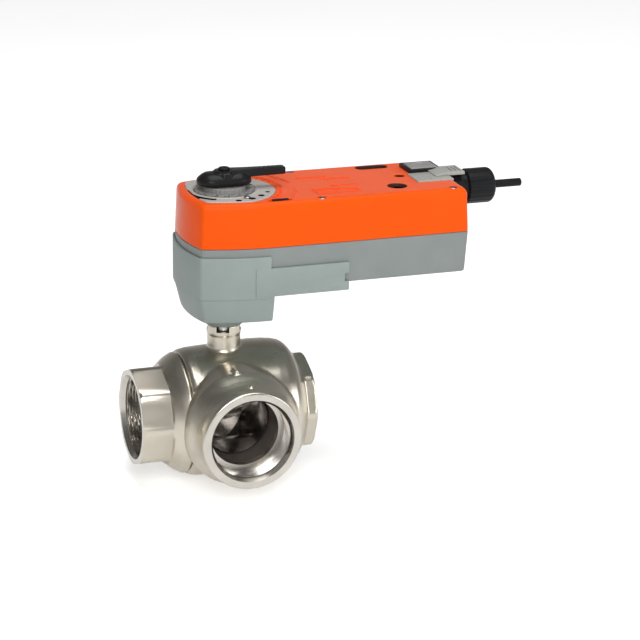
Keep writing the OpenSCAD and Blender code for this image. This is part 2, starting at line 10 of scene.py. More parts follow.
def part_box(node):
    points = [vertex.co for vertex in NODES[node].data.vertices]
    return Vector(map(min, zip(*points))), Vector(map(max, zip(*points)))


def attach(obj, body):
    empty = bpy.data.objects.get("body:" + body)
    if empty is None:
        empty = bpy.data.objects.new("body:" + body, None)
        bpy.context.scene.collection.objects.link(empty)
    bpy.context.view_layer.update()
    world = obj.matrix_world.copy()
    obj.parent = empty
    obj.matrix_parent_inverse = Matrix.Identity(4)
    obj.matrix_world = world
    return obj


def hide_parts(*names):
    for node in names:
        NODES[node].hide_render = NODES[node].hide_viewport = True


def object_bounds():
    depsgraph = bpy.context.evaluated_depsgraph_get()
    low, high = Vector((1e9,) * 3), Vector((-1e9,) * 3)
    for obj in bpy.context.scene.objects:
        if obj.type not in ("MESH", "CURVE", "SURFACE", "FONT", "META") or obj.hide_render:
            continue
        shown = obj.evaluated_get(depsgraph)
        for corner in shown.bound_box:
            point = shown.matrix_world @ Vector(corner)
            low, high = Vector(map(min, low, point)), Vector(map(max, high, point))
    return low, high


bl_info = {
    "name": "Zone valve",
    "version": (1, 0, 0),
    "blender": (4, 5, 0),
    "location": "View3D > Sidebar > Zone valve",
    "description": "Builds a motorised three-way zone valve and the stage that shows it",
    "category": "Object",
}

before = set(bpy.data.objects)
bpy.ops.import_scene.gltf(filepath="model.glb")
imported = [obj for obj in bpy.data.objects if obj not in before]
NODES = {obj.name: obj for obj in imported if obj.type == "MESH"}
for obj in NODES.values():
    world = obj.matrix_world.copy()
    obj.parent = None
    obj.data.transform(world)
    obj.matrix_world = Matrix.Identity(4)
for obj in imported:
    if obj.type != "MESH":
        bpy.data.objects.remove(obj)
CAD_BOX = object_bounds()

MM = 0.001
X, Y, Z = Vector((1, 0, 0)), Vector((0, 1, 0)), Vector((0, 0, 1))
ORIGIN = Vector((0, 0, 0))


def low(node):
    """The node's lowest corner, in millimetres."""
    return [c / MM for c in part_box(node)[0]]


def high(node):
    """The node's highest corner, in millimetres."""
    return [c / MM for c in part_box(node)[1]]


# ---------------------------------------------------------------- sizes and colours


class ValveSizes(bpy.types.PropertyGroup):
    """Driving sizes of the valve body, in millimetres."""

    rim: bpy.props.FloatProperty(name="Rim radius", description="Outer radius of each port's rim", default=35.0)
    octagon: bpy.props.FloatProperty(
        name="Octagon radius", description="Radius over the octagon's corners", default=36.4
    )
    bore: bpy.props.FloatProperty(name="Thread bore", description="Radius inside the thread", default=28.3)
    pitch: bpy.props.FloatProperty(name="Thread pitch", description="Pitch of the pipe thread", default=2.31)
    mouth: bpy.props.FloatProperty(name="Mouth", description="Radius of each port's chamfered mouth", default=30.2)
    way: bpy.props.FloatProperty(name="Flow way", description="Radius of the way behind the thread", default=25.0)
    barrel: bpy.props.FloatProperty(name="Barrel radius", description="Outer radius of the body", default=46.3)
    voxel: bpy.props.FloatProperty(
        name="Casting grain", description="Size of the blended casting's faces", default=0.75
    )


class HousingSizes(bpy.types.PropertyGroup):
    """Driving sizes of the actuator's shells, in millimetres."""

    wall: bpy.props.FloatProperty(name="Wall", description="Thickness of the moulded walls", default=2.4)
    draft: bpy.props.FloatProperty(name="Draft", description="Inward slope per unit of height", default=0.047)
    top_round: bpy.props.FloatProperty(name="Top round", description="Radius of the cover's top edge", default=4.2)
    dial: bpy.props.FloatProperty(name="Dial radius", description="Radius of the grey dial plate", default=36.0)
    scale_ring: bpy.props.FloatProperty(name="Scale ring", description="Radius of the raised ring", default=43.0)


class Finishes(bpy.types.PropertyGroup):
    """Base colours of the finishes."""

    cover: bpy.props.FloatVectorProperty(
        name="Cover", description="Orange of the cover", subtype="COLOR", size=3, default=(0.93, 0.094, 0.001)
    )
    base: bpy.props.FloatVectorProperty(
        name="Base", description="Grey of the base", subtype="COLOR", size=3, default=(0.235, 0.262, 0.255)
    )
    bracket: bpy.props.FloatVectorProperty(
        name="Bracket", description="Grey of the bracket", subtype="COLOR", size=3, default=(0.275, 0.325, 0.312)
    )
    brass: bpy.props.FloatVectorProperty(
        name="Body", description="Nickel plate over brass", subtype="COLOR", size=3, default=(0.63, 0.585, 0.50)
    )


class StageSettings(bpy.types.PropertyGroup):
    """Camera and light."""

    azimuth: bpy.props.FloatProperty(name="Azimuth", description="Camera azimuth in degrees", default=-19.45)
    elevation: bpy.props.FloatProperty(name="Elevation", description="Camera elevation in degrees", default=18.55)
    roll: bpy.props.FloatProperty(name="Roll", description="Camera roll in degrees", default=0.91)
    distance: bpy.props.FloatProperty(name="Distance", description="Camera distance", default=1.679, unit="LENGTH")
    lens: bpy.props.FloatProperty(name="Lens", description="Focal length in millimetres", default=131.2)
    aim: bpy.props.FloatVectorProperty(
        name="Aim", description="Point that the camera looks at", size=3, default=(0.0713, -0.0036, 0.0605)
    )
    sky: bpy.props.FloatProperty(name="Sky", description="Strength of the surrounding light", default=0.45)


# ---------------------------------------------------------------- modelling helpers


def deselect():
    """Leaves nothing selected."""
    if bpy.context.object and bpy.context.object.mode != "OBJECT":
        bpy.ops.object.mode_set(mode="OBJECT")
    bpy.ops.object.select_all(action="DESELECT")


def activate(obj):
    """Makes obj the only selected object."""
    deselect()
    obj.select_set(True)
    bpy.context.view_layer.objects.active = obj


def place_face(obj, ring):
    """Moves the selected face's corners to the ring's points."""
    bm = bmesh.from_edit_mesh(obj.data)
    face = next(f for f in bm.faces if f.select)
    for vert, point in zip(face.verts, ring):
        vert.co = Vector(point) * MM
    bmesh.update_edit_mesh(obj.data)


def flat(points, z):
    """A level ring through plan points."""
    return [Vector((x, y, z)) for x, y in points]


def loft(name, rings, closed=False):
    """A solid extruded ring by ring. When closed, the last ring joins the first and no cap is left."""
    deselect()
    bpy.ops.mesh.primitive_circle_add(vertices=len(rings[0]), fill_type="NGON")
    obj = bpy.context.object
    obj.name = obj.data.name = name
    bpy.ops.object.mode_set(mode="EDIT")
    bpy.ops.mesh.select_mode(type="FACE")
    bpy.ops.mesh.select_all(action="SELECT")
    place_face(obj, rings[0])
    for ring in rings[1:]:
        bpy.ops.mesh.extrude_region_move()
        place_face(obj, ring)
    if closed:
        bpy.ops.mesh.extrude_region_move()
        place_face(obj, rings[0])
        bm = bmesh.from_edit_mesh(obj.data)
        for face in bm.faces:
            face.select = len(face.verts) > 4
        bmesh.update_edit_mesh(obj.data)
        bpy.ops.mesh.delete(type="ONLY_FACE")
        bpy.ops.mesh.select_all(action="SELECT")
        bpy.ops.mesh.remove_doubles(threshold=1e-7)
    bpy.ops.mesh.select_all(action="SELECT")
    bpy.ops.mesh.normals_make_consistent(inside=False)
    bpy.ops.object.mode_set(mode="OBJECT")
    return obj


def axis_frame(axis):
    """Two directions across an axis."""
    if axis == X:
        return Y, Z
    if axis == Y:
        return Z, X
    return X, Y


def turned(name, stations, axis=Z, centre=ORIGIN, sides=96, shape=None, closed=False):
    """A turned solid through (distance along the axis, radius) stations. shape(t, angle, r) may change a radius."""
    u, v = axis_frame(axis)
    rings = []
    for t, r in stations:
        ring = []
        for k in range(sides):
            a = 2 * math.pi * k / sides
            radius = shape(t, a, r) if shape else r
            ring.append(centre + axis * t + (u * math.cos(a) + v * math.sin(a)) * radius)
        rings.append(ring)
    return loft(name, rings, closed)


def rod(name, z0, z1, r, at=(0, 0), sides=32):
    """An upright round bar, or the cutter for a plain hole."""
    return turned(name, [(z0, r), (z1, r)], Z, Vector((at[0], at[1], 0)), sides)


def slab(name, corner_low, corner_high, bevel=0.4, segments=2):
    """A box with rounded edges."""
    size = [h - l for l, h in zip(corner_low, corner_high)]
    middle = [(l + h) / 2 * MM for l, h in zip(corner_low, corner_high)]
    deselect()
    bpy.ops.mesh.primitive_cube_add(size=1, location=middle)
    obj = bpy.context.object
    obj.name = obj.data.name = name
    obj.scale = [s * MM for s in size]
    bpy.ops.object.transform_apply(location=True, rotation=True, scale=True)
    if bevel:
        round_edges(obj, bevel, segments)
    return obj


def round_edges(obj, width, segments=2, angle=30.0):
    """Rounds every edge sharper than the angle."""
    activate(obj)
    mod = obj.modifiers.new("rounded", "BEVEL")
    mod.width = width * MM
    mod.segments = segments
    mod.limit_method = "ANGLE"
    mod.angle_limit = math.radians(angle)
    bpy.ops.object.modifier_apply(modifier=mod.name)


def combine(obj, other, operation):
    """Joins or cuts obj with other, which is used up."""
    activate(obj)
    mod = obj.modifiers.new("combined", "BOOLEAN")
    mod.operation = operation
    mod.object = other
    mod.solver = "EXACT"
    bpy.ops.object.modifier_apply(modifier=mod.name)
    mesh = other.data
    bpy.data.objects.remove(other)
    bpy.data.meshes.remove(mesh)
    return obj


def cut(obj, *cutters):
    """Cuts each solid out of obj."""
    for cutter in cutters:
        combine(obj, cutter, "DIFFERENCE")
    return obj


def fuse(obj, *others):
    """Fuses each solid into obj."""
    for other in others:
        combine(obj, other, "UNION")
    return obj


def join(name, *parts):
    """Puts several loose solids into one piece."""
    activate(parts[0])
    for part in parts[1:]:
        part.select_set(True)
    bpy.ops.object.join()
    obj = bpy.context.object
    obj.name = obj.data.name = name
    return obj


def turn_about(obj, centre, degrees, axis=Z):
    """Turns a solid's points about an axis through centre."""
    c = Vector(centre) * MM
    turn = Matrix.Rotation(math.radians(degrees), 4, axis)
    obj.data.transform(Matrix.Translation(c) @ turn @ Matrix.Translation(-c))
    return obj


def paint(obj, mat, test):
    """Gives the faces whose centres pass the test another finish."""
    obj.data.materials.append(mat)
    for face in obj.data.polygons:
        if test(face.center / MM):
            face.material_index = len(obj.data.materials) - 1


def finish_piece(obj, body, slot, replaces, smooth=30.0, more=()):
    """Shades a piece, gives it its finish and any more that its faces use, hangs it under its body's empty and
    hides the parts that it replaces.
    """
    activate(obj)
    bpy.ops.object.shade_smooth_by_angle(angle=math.radians(smooth))
    mats = finishes()
    obj.data.materials.clear()
    for name in (slot, *more):
        obj.data.materials.append(mats[name])
    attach(obj, body)
    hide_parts(*replaces)
    deselect()
    return obj


# ---------------------------------------------------------------- materials


class Nodes:
    """A short way to write a material's nodes."""

    def __init__(self, name):
        self.mat = bpy.data.materials.new(name)
        self.mat.use_nodes = True
        self.tree = self.mat.node_tree
        self.shader = self.tree.nodes["Principled BSDF"]
        self.coords = self.tree.nodes.new("ShaderNodeTexCoord").outputs["Object"]

    def add(self, kind, **inputs):
        node = self.tree.nodes.new(kind)
        for key, value in inputs.items():
            socket = node.inputs[key.replace("_", " ")]
            if isinstance(value, bpy.types.NodeSocket):
                self.tree.links.new(value, socket)
            else:
                socket.default_value = value
        return node

    def link(self, out, into):
        self.tree.links.new(out, into)

    def noise(self, scale, detail=3.0, rough=0.55):
        node = self.add("ShaderNodeTexNoise", Vector=self.coords, Scale=scale, Detail=detail, Roughness=rough)
        return node.outputs["Fac"]

    def calc(self, operation, *values):
        node = self.tree.nodes.new("ShaderNodeMath")
        node.operation = operation
        for value, socket in zip(values, node.inputs):
            if isinstance(value, bpy.types.NodeSocket):
                self.link(value, socket)
            else:
                socket.default_value = value
        return node.outputs[0]

    def ramp(self, fac, stops):
        node = self.tree.nodes.new("ShaderNodeValToRGB")
        elements = node.color_ramp.elements
        elements[0].position, elements[0].color = stops[0]
        elements[1].position, elements[1].color = stops[-1]
        for position, colour in stops[1:-1]:
            elements.new(position).color = colour
        self.link(fac, node.inputs["Fac"])
        return node.outputs["Color"]

    def between(self, fac, first, last):
        node = self.add("ShaderNodeMapRange", Value=fac, To_Min=first, To_Max=last)
        return node.outputs["Result"]

    def bump(self, height, distance, strength=1.0, normal=None):
        node = self.add("ShaderNodeBump", Height=height, Distance=distance, Strength=strength)
        if normal is not None:
            self.link(normal, node.inputs["Normal"])
        return node.outputs["Normal"]


def shade(colour, factor):
    """A colour made lighter or darker, with full alpha."""
    return tuple(min(1.0, c * factor) for c in colour) + (1.0,)


MATERIALS = {}


def remember(make):
    """Makes each finish once."""

    def wrapped(*args):
        key = (make.__name__,) + args
        if key not in MATERIALS:
            MATERIALS[key] = make(*args)
        return MATERIALS[key]

    return wrapped


@remember
def moulded(name, colour, rough=0.42, grain=1400.0, depth=0.00003, spread=0.05, gloss=0.5, haze=0.0):
    """Moulded plastic: a fine spark-eroded grain, faint flow marks and small changes of gloss."""
    n = Nodes(name)
    flow = n.noise(38.0, 4.0)
    n.link(
        n.ramp(flow, [(0.3, shade(colour, 1 - spread)), (0.7, shade(colour, 1 + spread))]),
        n.shader.inputs["Base Color"],
    )
    n.link(n.between(n.noise(120.0), rough - 0.06, rough + 0.08), n.shader.inputs["Roughness"])
    grain_bump = n.bump(n.noise(grain, 2.0), depth, 0.55)
    n.link(n.bump(flow, 0.00008, 0.25, grain_bump), n.shader.inputs["Normal"])
    n.shader.inputs["IOR"].default_value = 1.5
    n.shader.inputs["Specular IOR Level"].default_value = gloss
    n.shader.inputs["Sheen Weight"].default_value = haze
    n.shader.inputs["Sheen Roughness"].default_value = 0.28
    return n.mat


@remember
def cast_brass(name, colour):
    """Nickel plate over a blasted forging: warm satin metal with a soft orange-peel skin."""
    n = Nodes(name)
    cloud = n.noise(55.0, 5.0)
    n.link(
        n.ramp(cloud, [(0.25, shade(colour, 0.94)), (0.55, shade(colour, 1.0)), (0.8, shade(colour, 1.05))]),
        n.shader.inputs["Base Color"],
    )
    n.shader.inputs["Metallic"].default_value = 1.0
    n.link(n.between(n.noise(210.0, 4.0), 0.24, 0.36), n.shader.inputs["Roughness"])
    skin = n.bump(n.noise(900.0, 3.0), 0.00002, 0.5)
    n.link(n.bump(n.noise(160.0, 3.0), 0.00010, 0.35, skin), n.shader.inputs["Normal"])
    return n.mat


@remember
def turned_metal(name, colour, axis, rough, pitch):
    """Machined metal with the fine rings that a lathe leaves."""
    n = Nodes(name)
    parts = n.add("ShaderNodeSeparateXYZ", Vector=n.coords)
    squares = [n.calc("POWER", parts.outputs[letter], 2.0) for letter in "XYZ" if letter != axis]
    radius = n.calc("SQRT", n.calc("ADD", *squares))
    rings = n.calc("SINE", n.calc("MULTIPLY", radius, 2 * math.pi / (pitch * MM)))
    cloud = n.noise(90.0, 4.0)
    n.link(n.ramp(cloud, [(0.3, shade(colour, 0.93)), (0.7, shade(colour, 1.05))]), n.shader.inputs["Base Color"])
    n.shader.inputs["Metallic"].default_value = 1.0
    n.link(n.between(cloud, rough - 0.05, rough + 0.06), n.shader.inputs["Roughness"])
    n.link(n.bump(rings, 0.000006, 0.6), n.shader.inputs["Normal"])
    return n.mat


@remember
def plated(name, colour, rough):
    """Plated or drawn steel with slight staining."""
    n = Nodes(name)
    cloud = n.noise(140.0, 4.0)
    n.link(n.ramp(cloud, [(0.3, shade(colour, 0.9)), (0.7, shade(colour, 1.06))]), n.shader.inputs["Base Color"])
    n.shader.inputs["Metallic"].default_value = 1.0
    n.link(n.between(cloud, rough - 0.06, rough + 0.1), n.shader.inputs["Roughness"])
    n.link(n.bump(n.noise(1500.0), 0.00001, 0.5), n.shader.inputs["Normal"])
    return n.mat


@remember
def soft_rubber(name, colour, rough=0.6):
    """Rubber or cable sheath with a fine matt skin."""
    n = Nodes(name)
    skin = n.noise(1100.0, 3.0)
    n.shader.inputs["Specular IOR Level"].default_value = 0.15
    n.link(n.ramp(skin, [(0.3, shade(colour, 0.8)), (0.7, shade(colour, 1.2))]), n.shader.inputs["Base Color"])
    n.link(n.between(n.noise(200.0), rough - 0.08, rough + 0.08), n.shader.inputs["Roughness"])
    n.link(n.bump(skin, 0.00003, 0.6), n.shader.inputs["Normal"])
    return n.mat


def finishes():
    """Every finish by its slot name."""
    colours = bpy.context.scene.valve_finishes
    black = (0.012, 0.012, 0.013)
    return {
        "nickel_brass": cast_brass("nickel_brass", tuple(colours.brass)),
        "machined_x": turned_metal("machined_x", (0.60, 0.57, 0.52), "X", 0.24, 0.35),
        "machined_y": turned_metal("machined_y", (0.60, 0.57, 0.52), "Y", 0.24, 0.35),
        "bare_brass": turned_metal("bare_brass", (0.72, 0.52, 0.22), "Z", 0.25, 0.3),
        "seal_rubber": soft_rubber("seal_rubber", (0.02, 0.02, 0.02)),
        "ball_chrome": plated("ball_chrome", (0.36, 0.34, 0.32), 0.16),
        "seat_plastic": moulded("seat_plastic", (0.12, 0.10, 0.09), 0.35),
        "stem_steel": turned_metal("stem_steel", (0.52, 0.51, 0.49), "Z", 0.28, 0.25),
        "zinc_steel": plated("zinc_steel", (0.42, 0.42, 0.43), 0.3),
        "motor_steel": plated("motor_steel", (0.45, 0.45, 0.46), 0.35),
        "spring_steel": plated("spring_steel", (0.25, 0.27, 0.31), 0.3),
        "bracket_plastic": moulded("bracket_plastic", tuple(colours.bracket), 0.46),
        "base_plastic": moulded("base_plastic", tuple(colours.base), 0.46),
        "cover_plastic": moulded("cover_plastic", tuple(colours.cover), 0.40, 1500.0, 0.000025, 0.03, 0.12, 0.50),
        "well_shadow": moulded("well_shadow", (0.055, 0.018, 0.008), 0.5),
        "dial_plastic": moulded("dial_plastic", (0.50, 0.47, 0.44), 0.4),
        "ring_plastic": moulded("ring_plastic", (0.22, 0.215, 0.205), 0.38),
        "lid_plastic": moulded("lid_plastic", (0.40, 0.405, 0.375), 0.4),
        "button_plastic": moulded("button_plastic", (0.30, 0.29, 0.28), 0.4),
        # black plastic of the handle, bezel, slider, screw cap and switch; the dial's slot and pit floors also get
        # it as painted shade
        "black_plastic": moulded("black_plastic", black, 0.33, 1100.0, 0.00004, 0.15, 0.18),
        "gland_plastic": moulded("gland_plastic", (0.010, 0.011, 0.012), 0.36, 900.0, 0.00003, 0.15, 0.16),
        "cable_sheath": soft_rubber("cable_sheath", (0.010, 0.010, 0.011), 0.5),
        "gear_plastic": moulded("gear_plastic", (0.78, 0.74, 0.62), 0.35),
        "board_laminate": moulded("board_laminate", (0.02, 0.16, 0.06), 0.25),
        "component_plastic": moulded("component_plastic", (0.03, 0.03, 0.035), 0.4),
        "terminal_plastic": moulded("terminal_plastic", (0.03, 0.22, 0.08), 0.35),
    }


# ---------------------------------------------------------------- valve body

BODY_FACE = -33.0  # where the body meets the end connector
CAVITY = 41.0  # radius of the space around the ball
SEAT = 28.5  # radius of the seats' pockets
SEAT_END, BRANCH_SEAT_END = 36.0, 45.0
FLANGE = 43.4  # radius of the end connector's ring
NOTCH_TURN = -20.0  # degrees from the run to the crown's notches
MOUTH_DEPTH = 3.3  # length of the chamfer before each thread
THREAD_DEPTH = 1.45


def octagon(t, angle, r, corner):
    """Radius of an octagon whose corners are slightly rounded."""
    step = math.pi / 4
    flat = corner * math.cos(step / 2)
    off = (angle % step) - step / 2
    return min(flat / math.cos(off), corner - 0.7)


def thread_stations(start, end, bore, mouth, pitch):
    """Stations of a threaded bore from its inner end to its mouth, closely spaced for the helix."""
    count = int(abs(end - start) / pitch * 8)
    step = (end - start) / count
    return [(start + step * i, bore) for i in range(count + 1)] + [(end + math.copysign(MOUTH_DEPTH, step), mouth)]


def helix(start, end, bore, pitch, depth):
    """A shape that turns a plain bore into a vee thread which fades at both ends."""

    def shape(t, angle, r):
        if r != bore:
            return r
        phase = ((t / pitch) + angle / (2 * math.pi)) % 1.0
        vee = 1 - abs(2 * phase - 1)
        room = min(abs(t - start), abs(end - t)) / pitch
        return r + depth * max(0.0, vee * 1.3 - 0.3) * min(1.0, room)

    return shape


def port_cutter(name, axis, sizes, inner, face, lead):
    """The way and thread of one port, from inside the body to beyond its face. lead holds earlier stations."""
    sign = math.copysign(1, face)
    start, end = face - sign * 20, face - sign * MOUTH_DEPTH
    stations = lead + [(inner, sizes.way), (start - sign * 0.4, sizes.way)]
    stations += [(start, sizes.bore)]
    stations += thread_stations(start, end, sizes.bore, sizes.mouth, sizes.pitch)[1:]
    stations += [(face + sign * 1.5, sizes.mouth + 1.0)]
    shape = helix(start, end, sizes.bore, sizes.pitch, THREAD_DEPTH)
    return turned(name, stations, axis, sides=72, shape=shape)


class VALVE_OT_body(bpy.types.Operator):
    """Forged body with the right port, the branch port, the neck and its notched crown"""

    bl_idname = "valve.body"
    bl_label = "Valve body"

    def execute(self, context):
        s = context.scene.valve_sizes
        right = high("valve_body")[0]
        front = low("valve_body")[1]
        top = high("valve_body")[2]

        def port_shape(t, angle, r):
            return min(r, octagon(t, angle, r, s.octagon)) if t > 51.5 else r

        body = turned(
            "valve_body_shell",
            [
                (BODY_FACE, 42.4), (-32.5, 43.7), (-30, 45.0), (-25, 46.0), (-18, s.barrel), (0, 47.1), (22, 47.9),
                (32, 47.5), (38, 46.8), (43, 45.5), (45.6, 43.7), (48, 40.9), (50.2, 37.8), (51.2, 36.7),
                (51.9, s.octagon), (right - 1.6, s.octagon), (right, s.rim - 0.3),
            ],
            X, sides=128, shape=port_shape,
        )  # fmt: skip
        branch = turned(
            "branch",
            [
                (5, 41.9), (-44.6, 41.9), (-49, 40.3), (-53, 38.6), (-57, 37.3), (-60, 36.7), (-63, 36.2),
                (-66, 36.0), (-69.4, 35.8), (front + 0.5, 35.4), (front, 34.8),
            ],
            Y, sides=128,
        )  # fmt: skip
        neck = turned(
            "neck",
            [
                (30, 15), (44, 14), (46.2, 12.6), (48, 11.9), (57.2, 11.8), (57.9, 12.3),
                (top - 0.6, 12.3), (top, 11.8),
            ],
            Z, sides=96,
        )  # fmt: skip
        dot = turned("dot", [(30, 1.7), (37.2, 1.7), (37.8, 1.1)], Z, Vector((1.5, -61, 0)), 24)
        pip = slab("pip", (-5.4, -45.8, 36), (-2.4, -36, 44.2), 0.6)
        fuse(body, branch, neck, dot, pip)
        activate(body)
        grain = body.modifiers.new("blended", "REMESH")
        grain.mode = "VOXEL"
        grain.voxel_size = s.voxel * MM
        bpy.ops.object.modifier_apply(modifier=grain.name)
        soft = body.modifiers.new("softened", "SMOOTH")
        soft.factor = 0.5
        soft.iterations = 2
        bpy.ops.object.modifier_apply(modifier=soft.name)
        relief = turned("relief", [(-60, FLANGE + 0.3), (BODY_FACE, FLANGE + 0.3)], X, sides=128)
        lead = [(BODY_FACE - 1, CAVITY), (31, CAVITY), (31.01, SEAT), (SEAT_END, SEAT)]
        run = port_cutter("run", X, s, SEAT_END, right, lead)
        way = port_cutter("way", Y, s, -BRANCH_SEAT_END, front, [(-20, SEAT), (-BRANCH_SEAT_END, SEAT)])
        steps = [(25, 11.3), (42.5, 11.3), (42.5, 8.06), (50, 8.06), (50, 9.9), (70, 9.9)]
        stem = turned("stem_hole", steps, Z, sides=64)
        cut(body, relief, run, way, stem)
        for turn in (0, 90):
            notch = slab("notch", (-20, -4.5, 60.3), (20, 4.5, 70), 0)
            cut(body, turn_about(notch, (0, 0, 0), turn + NOTCH_TURN))
        finish_piece(body, "root", "nickel_brass", ["valve_body"], 40, ("machined_x", "machined_y"))
        machine_faces(body, right, front, s)
        return {"FINISHED"}


def machine_faces(body, right, front, s):
    """Gives the bored and faced surfaces their machined finish."""
    for face in body.data.polygons:
        c = face.center / MM
        around_x = math.hypot(c.y, c.z)
        around_y = math.hypot(c.x, c.z)
        if c.x > right - 22 and around_x < s.rim and (around_x < s.mouth + 0.4 or c.x > right - 0.5):
            face.material_index = 1
        elif c.y < front + 22 and around_y < s.rim and (around_y < s.mouth + 0.4 or c.y < front + 0.5):
            face.material_index = 2


class VALVE_OT_connector(bpy.types.Operator):
    """Screwed end connector with the left port"""

    bl_idname = "valve.connector"
    bl_label = "End connector"

    def execute(self, context):
        s = context.scene.valve_sizes
        face, inner = low("end_connector")[0], high("end_connector")[0]
        start, end = face + 20, face + MOUTH_DEPTH
        vee = helix(start, end, s.bore, s.pitch, THREAD_DEPTH)

        def shape(t, angle, r):
            if r > s.mouth + 1 and t < -46.8:
                return min(r, octagon(t, angle, r, s.octagon))
            return vee(t, angle, r)

        bore = thread_stations(start, end, s.bore, s.mouth, s.pitch)
        stations = [(inner, SEAT), (-SEAT_END, SEAT), (-SEAT_END, s.way), (start + 0.4, s.way)] + bore
        stations += [
            (face, s.rim - 0.6), (face + 0.2, s.rim - 0.2), (face + 1.8, s.octagon),
            (-46.9, s.octagon), (-46.0, 36.2), (-44.5, 37.3), (-41.2, 40.1), (-39.6, 41.1), (-37.6, 42.2),
            (-35.6, FLANGE - 0.2), (-35.1, FLANGE), (-34.5, FLANGE), (-34.1, FLANGE - 0.3), (-33.5, 42.6),
            (-33.4, CAVITY - 0.2), (inner, CAVITY - 0.2),
        ]  # fmt: skip
        obj = turned("end_connector_shell", stations, X, sides=128, shape=shape, closed=True)
        finish_piece(obj, "root", "nickel_brass", ["end_connector"], 26, ("machined_x",))
        for poly in obj.data.polygons:
            c = poly.center / MM
            if math.hypot(c.y, c.z) < s.mouth + 0.4 or c.x < face + 0.3:
                poly.material_index = 1
        return {"FINISHED"}


# ---------------------------------------------------------------- housing shells


def arc(centre, radius, first, last, steps):
    """Points along an arc, from first to last degrees."""
    points = []
    for k in range(steps + 1):
        a = math.radians(first + (last - first) * k / steps)
        points.append((centre[0] + radius * math.cos(a), centre[1] + radius * math.sin(a)))
    return points


FLANK_X, FLANK_R, NOSE_R = 25.0, 152.0, 100.0  # where the flanks are widest, and the radii of flank and nose


def plan_outline(grow, end, half, nose, corner=4.0):
    """Plan of the housing grown outwards: a curved nose, gently curved flanks and a square right end."""
    flank = (FLANK_X, half - FLANK_R)
    r_flank, r_nose = FLANK_R + grow, NOSE_R + grow
    nose_c = nose + NOSE_R
    # the corner's circle touches the nose and the flank from inside
    a, b = r_nose - corner, r_flank - corner
    dx, dy = flank[0] - nose_c, flank[1]
    d = math.hypot(dx, dy)
    along = (a * a - b * b + d * d) / (2 * d)
    off = math.sqrt(max(0.0, a * a - along * along))
    ux, uy = dx / d, dy / d
    options = [(nose_c + along * ux - s * off * uy, along * uy + s * off * ux) for s in (1, -1)]
    cx, cy = max(options, key=lambda p: p[1])
    nose_turn = math.degrees(math.atan2(cy, cx - nose_c))
    flank_turn = math.degrees(math.atan2(cy - flank[1], cx - flank[0]))
    upper = arc((nose_c, 0), r_nose, 180, nose_turn, 8)
    upper += arc((cx, cy), corner, nose_turn, flank_turn, 7)[1:]
    if end > FLANK_X:
        upper += arc(flank, r_flank, flank_turn, 90, 8)[1:]
        r = min(2.5, corner)
        upper += arc((end - r, half + grow - r), r, 90, 0, 4)
    else:
        stop = math.degrees(math.acos((end - flank[0]) / r_flank))
        upper += arc(flank, r_flank, flank_turn, stop, 8)[1:]
    lower = [(x, -y) for x, y in reversed(upper[1:])]
    return upper + lower


def shell_rings(levels, half, nose):
    """Rings for (height, growth, right end) levels."""
    return [flat(plan_outline(grow, end, half, nose), z) for z, grow, end in levels]


def trim(obj, levels, half, nose):
    """Keeps only what lies inside the housing's plan."""
    return combine(obj, loft("keep", shell_rings(levels, half, nose)), "INTERSECT")


def rounded_top(z_top, radius, grow, end, draft, steps=6):
    """Levels that roll a wall over into a flat top."""
    levels = []
    for k in range(steps + 1):
        a = math.pi / 2 * k / steps
        inset = radius * (1 - math.cos(a))
        rise = radius * math.sin(a)
        levels.append((z_top - radius + rise, grow - inset - draft * rise, end - inset - draft * rise))
    return levels


RECESS = (121.0, 31.0)  # middle of the oval recess in the cover


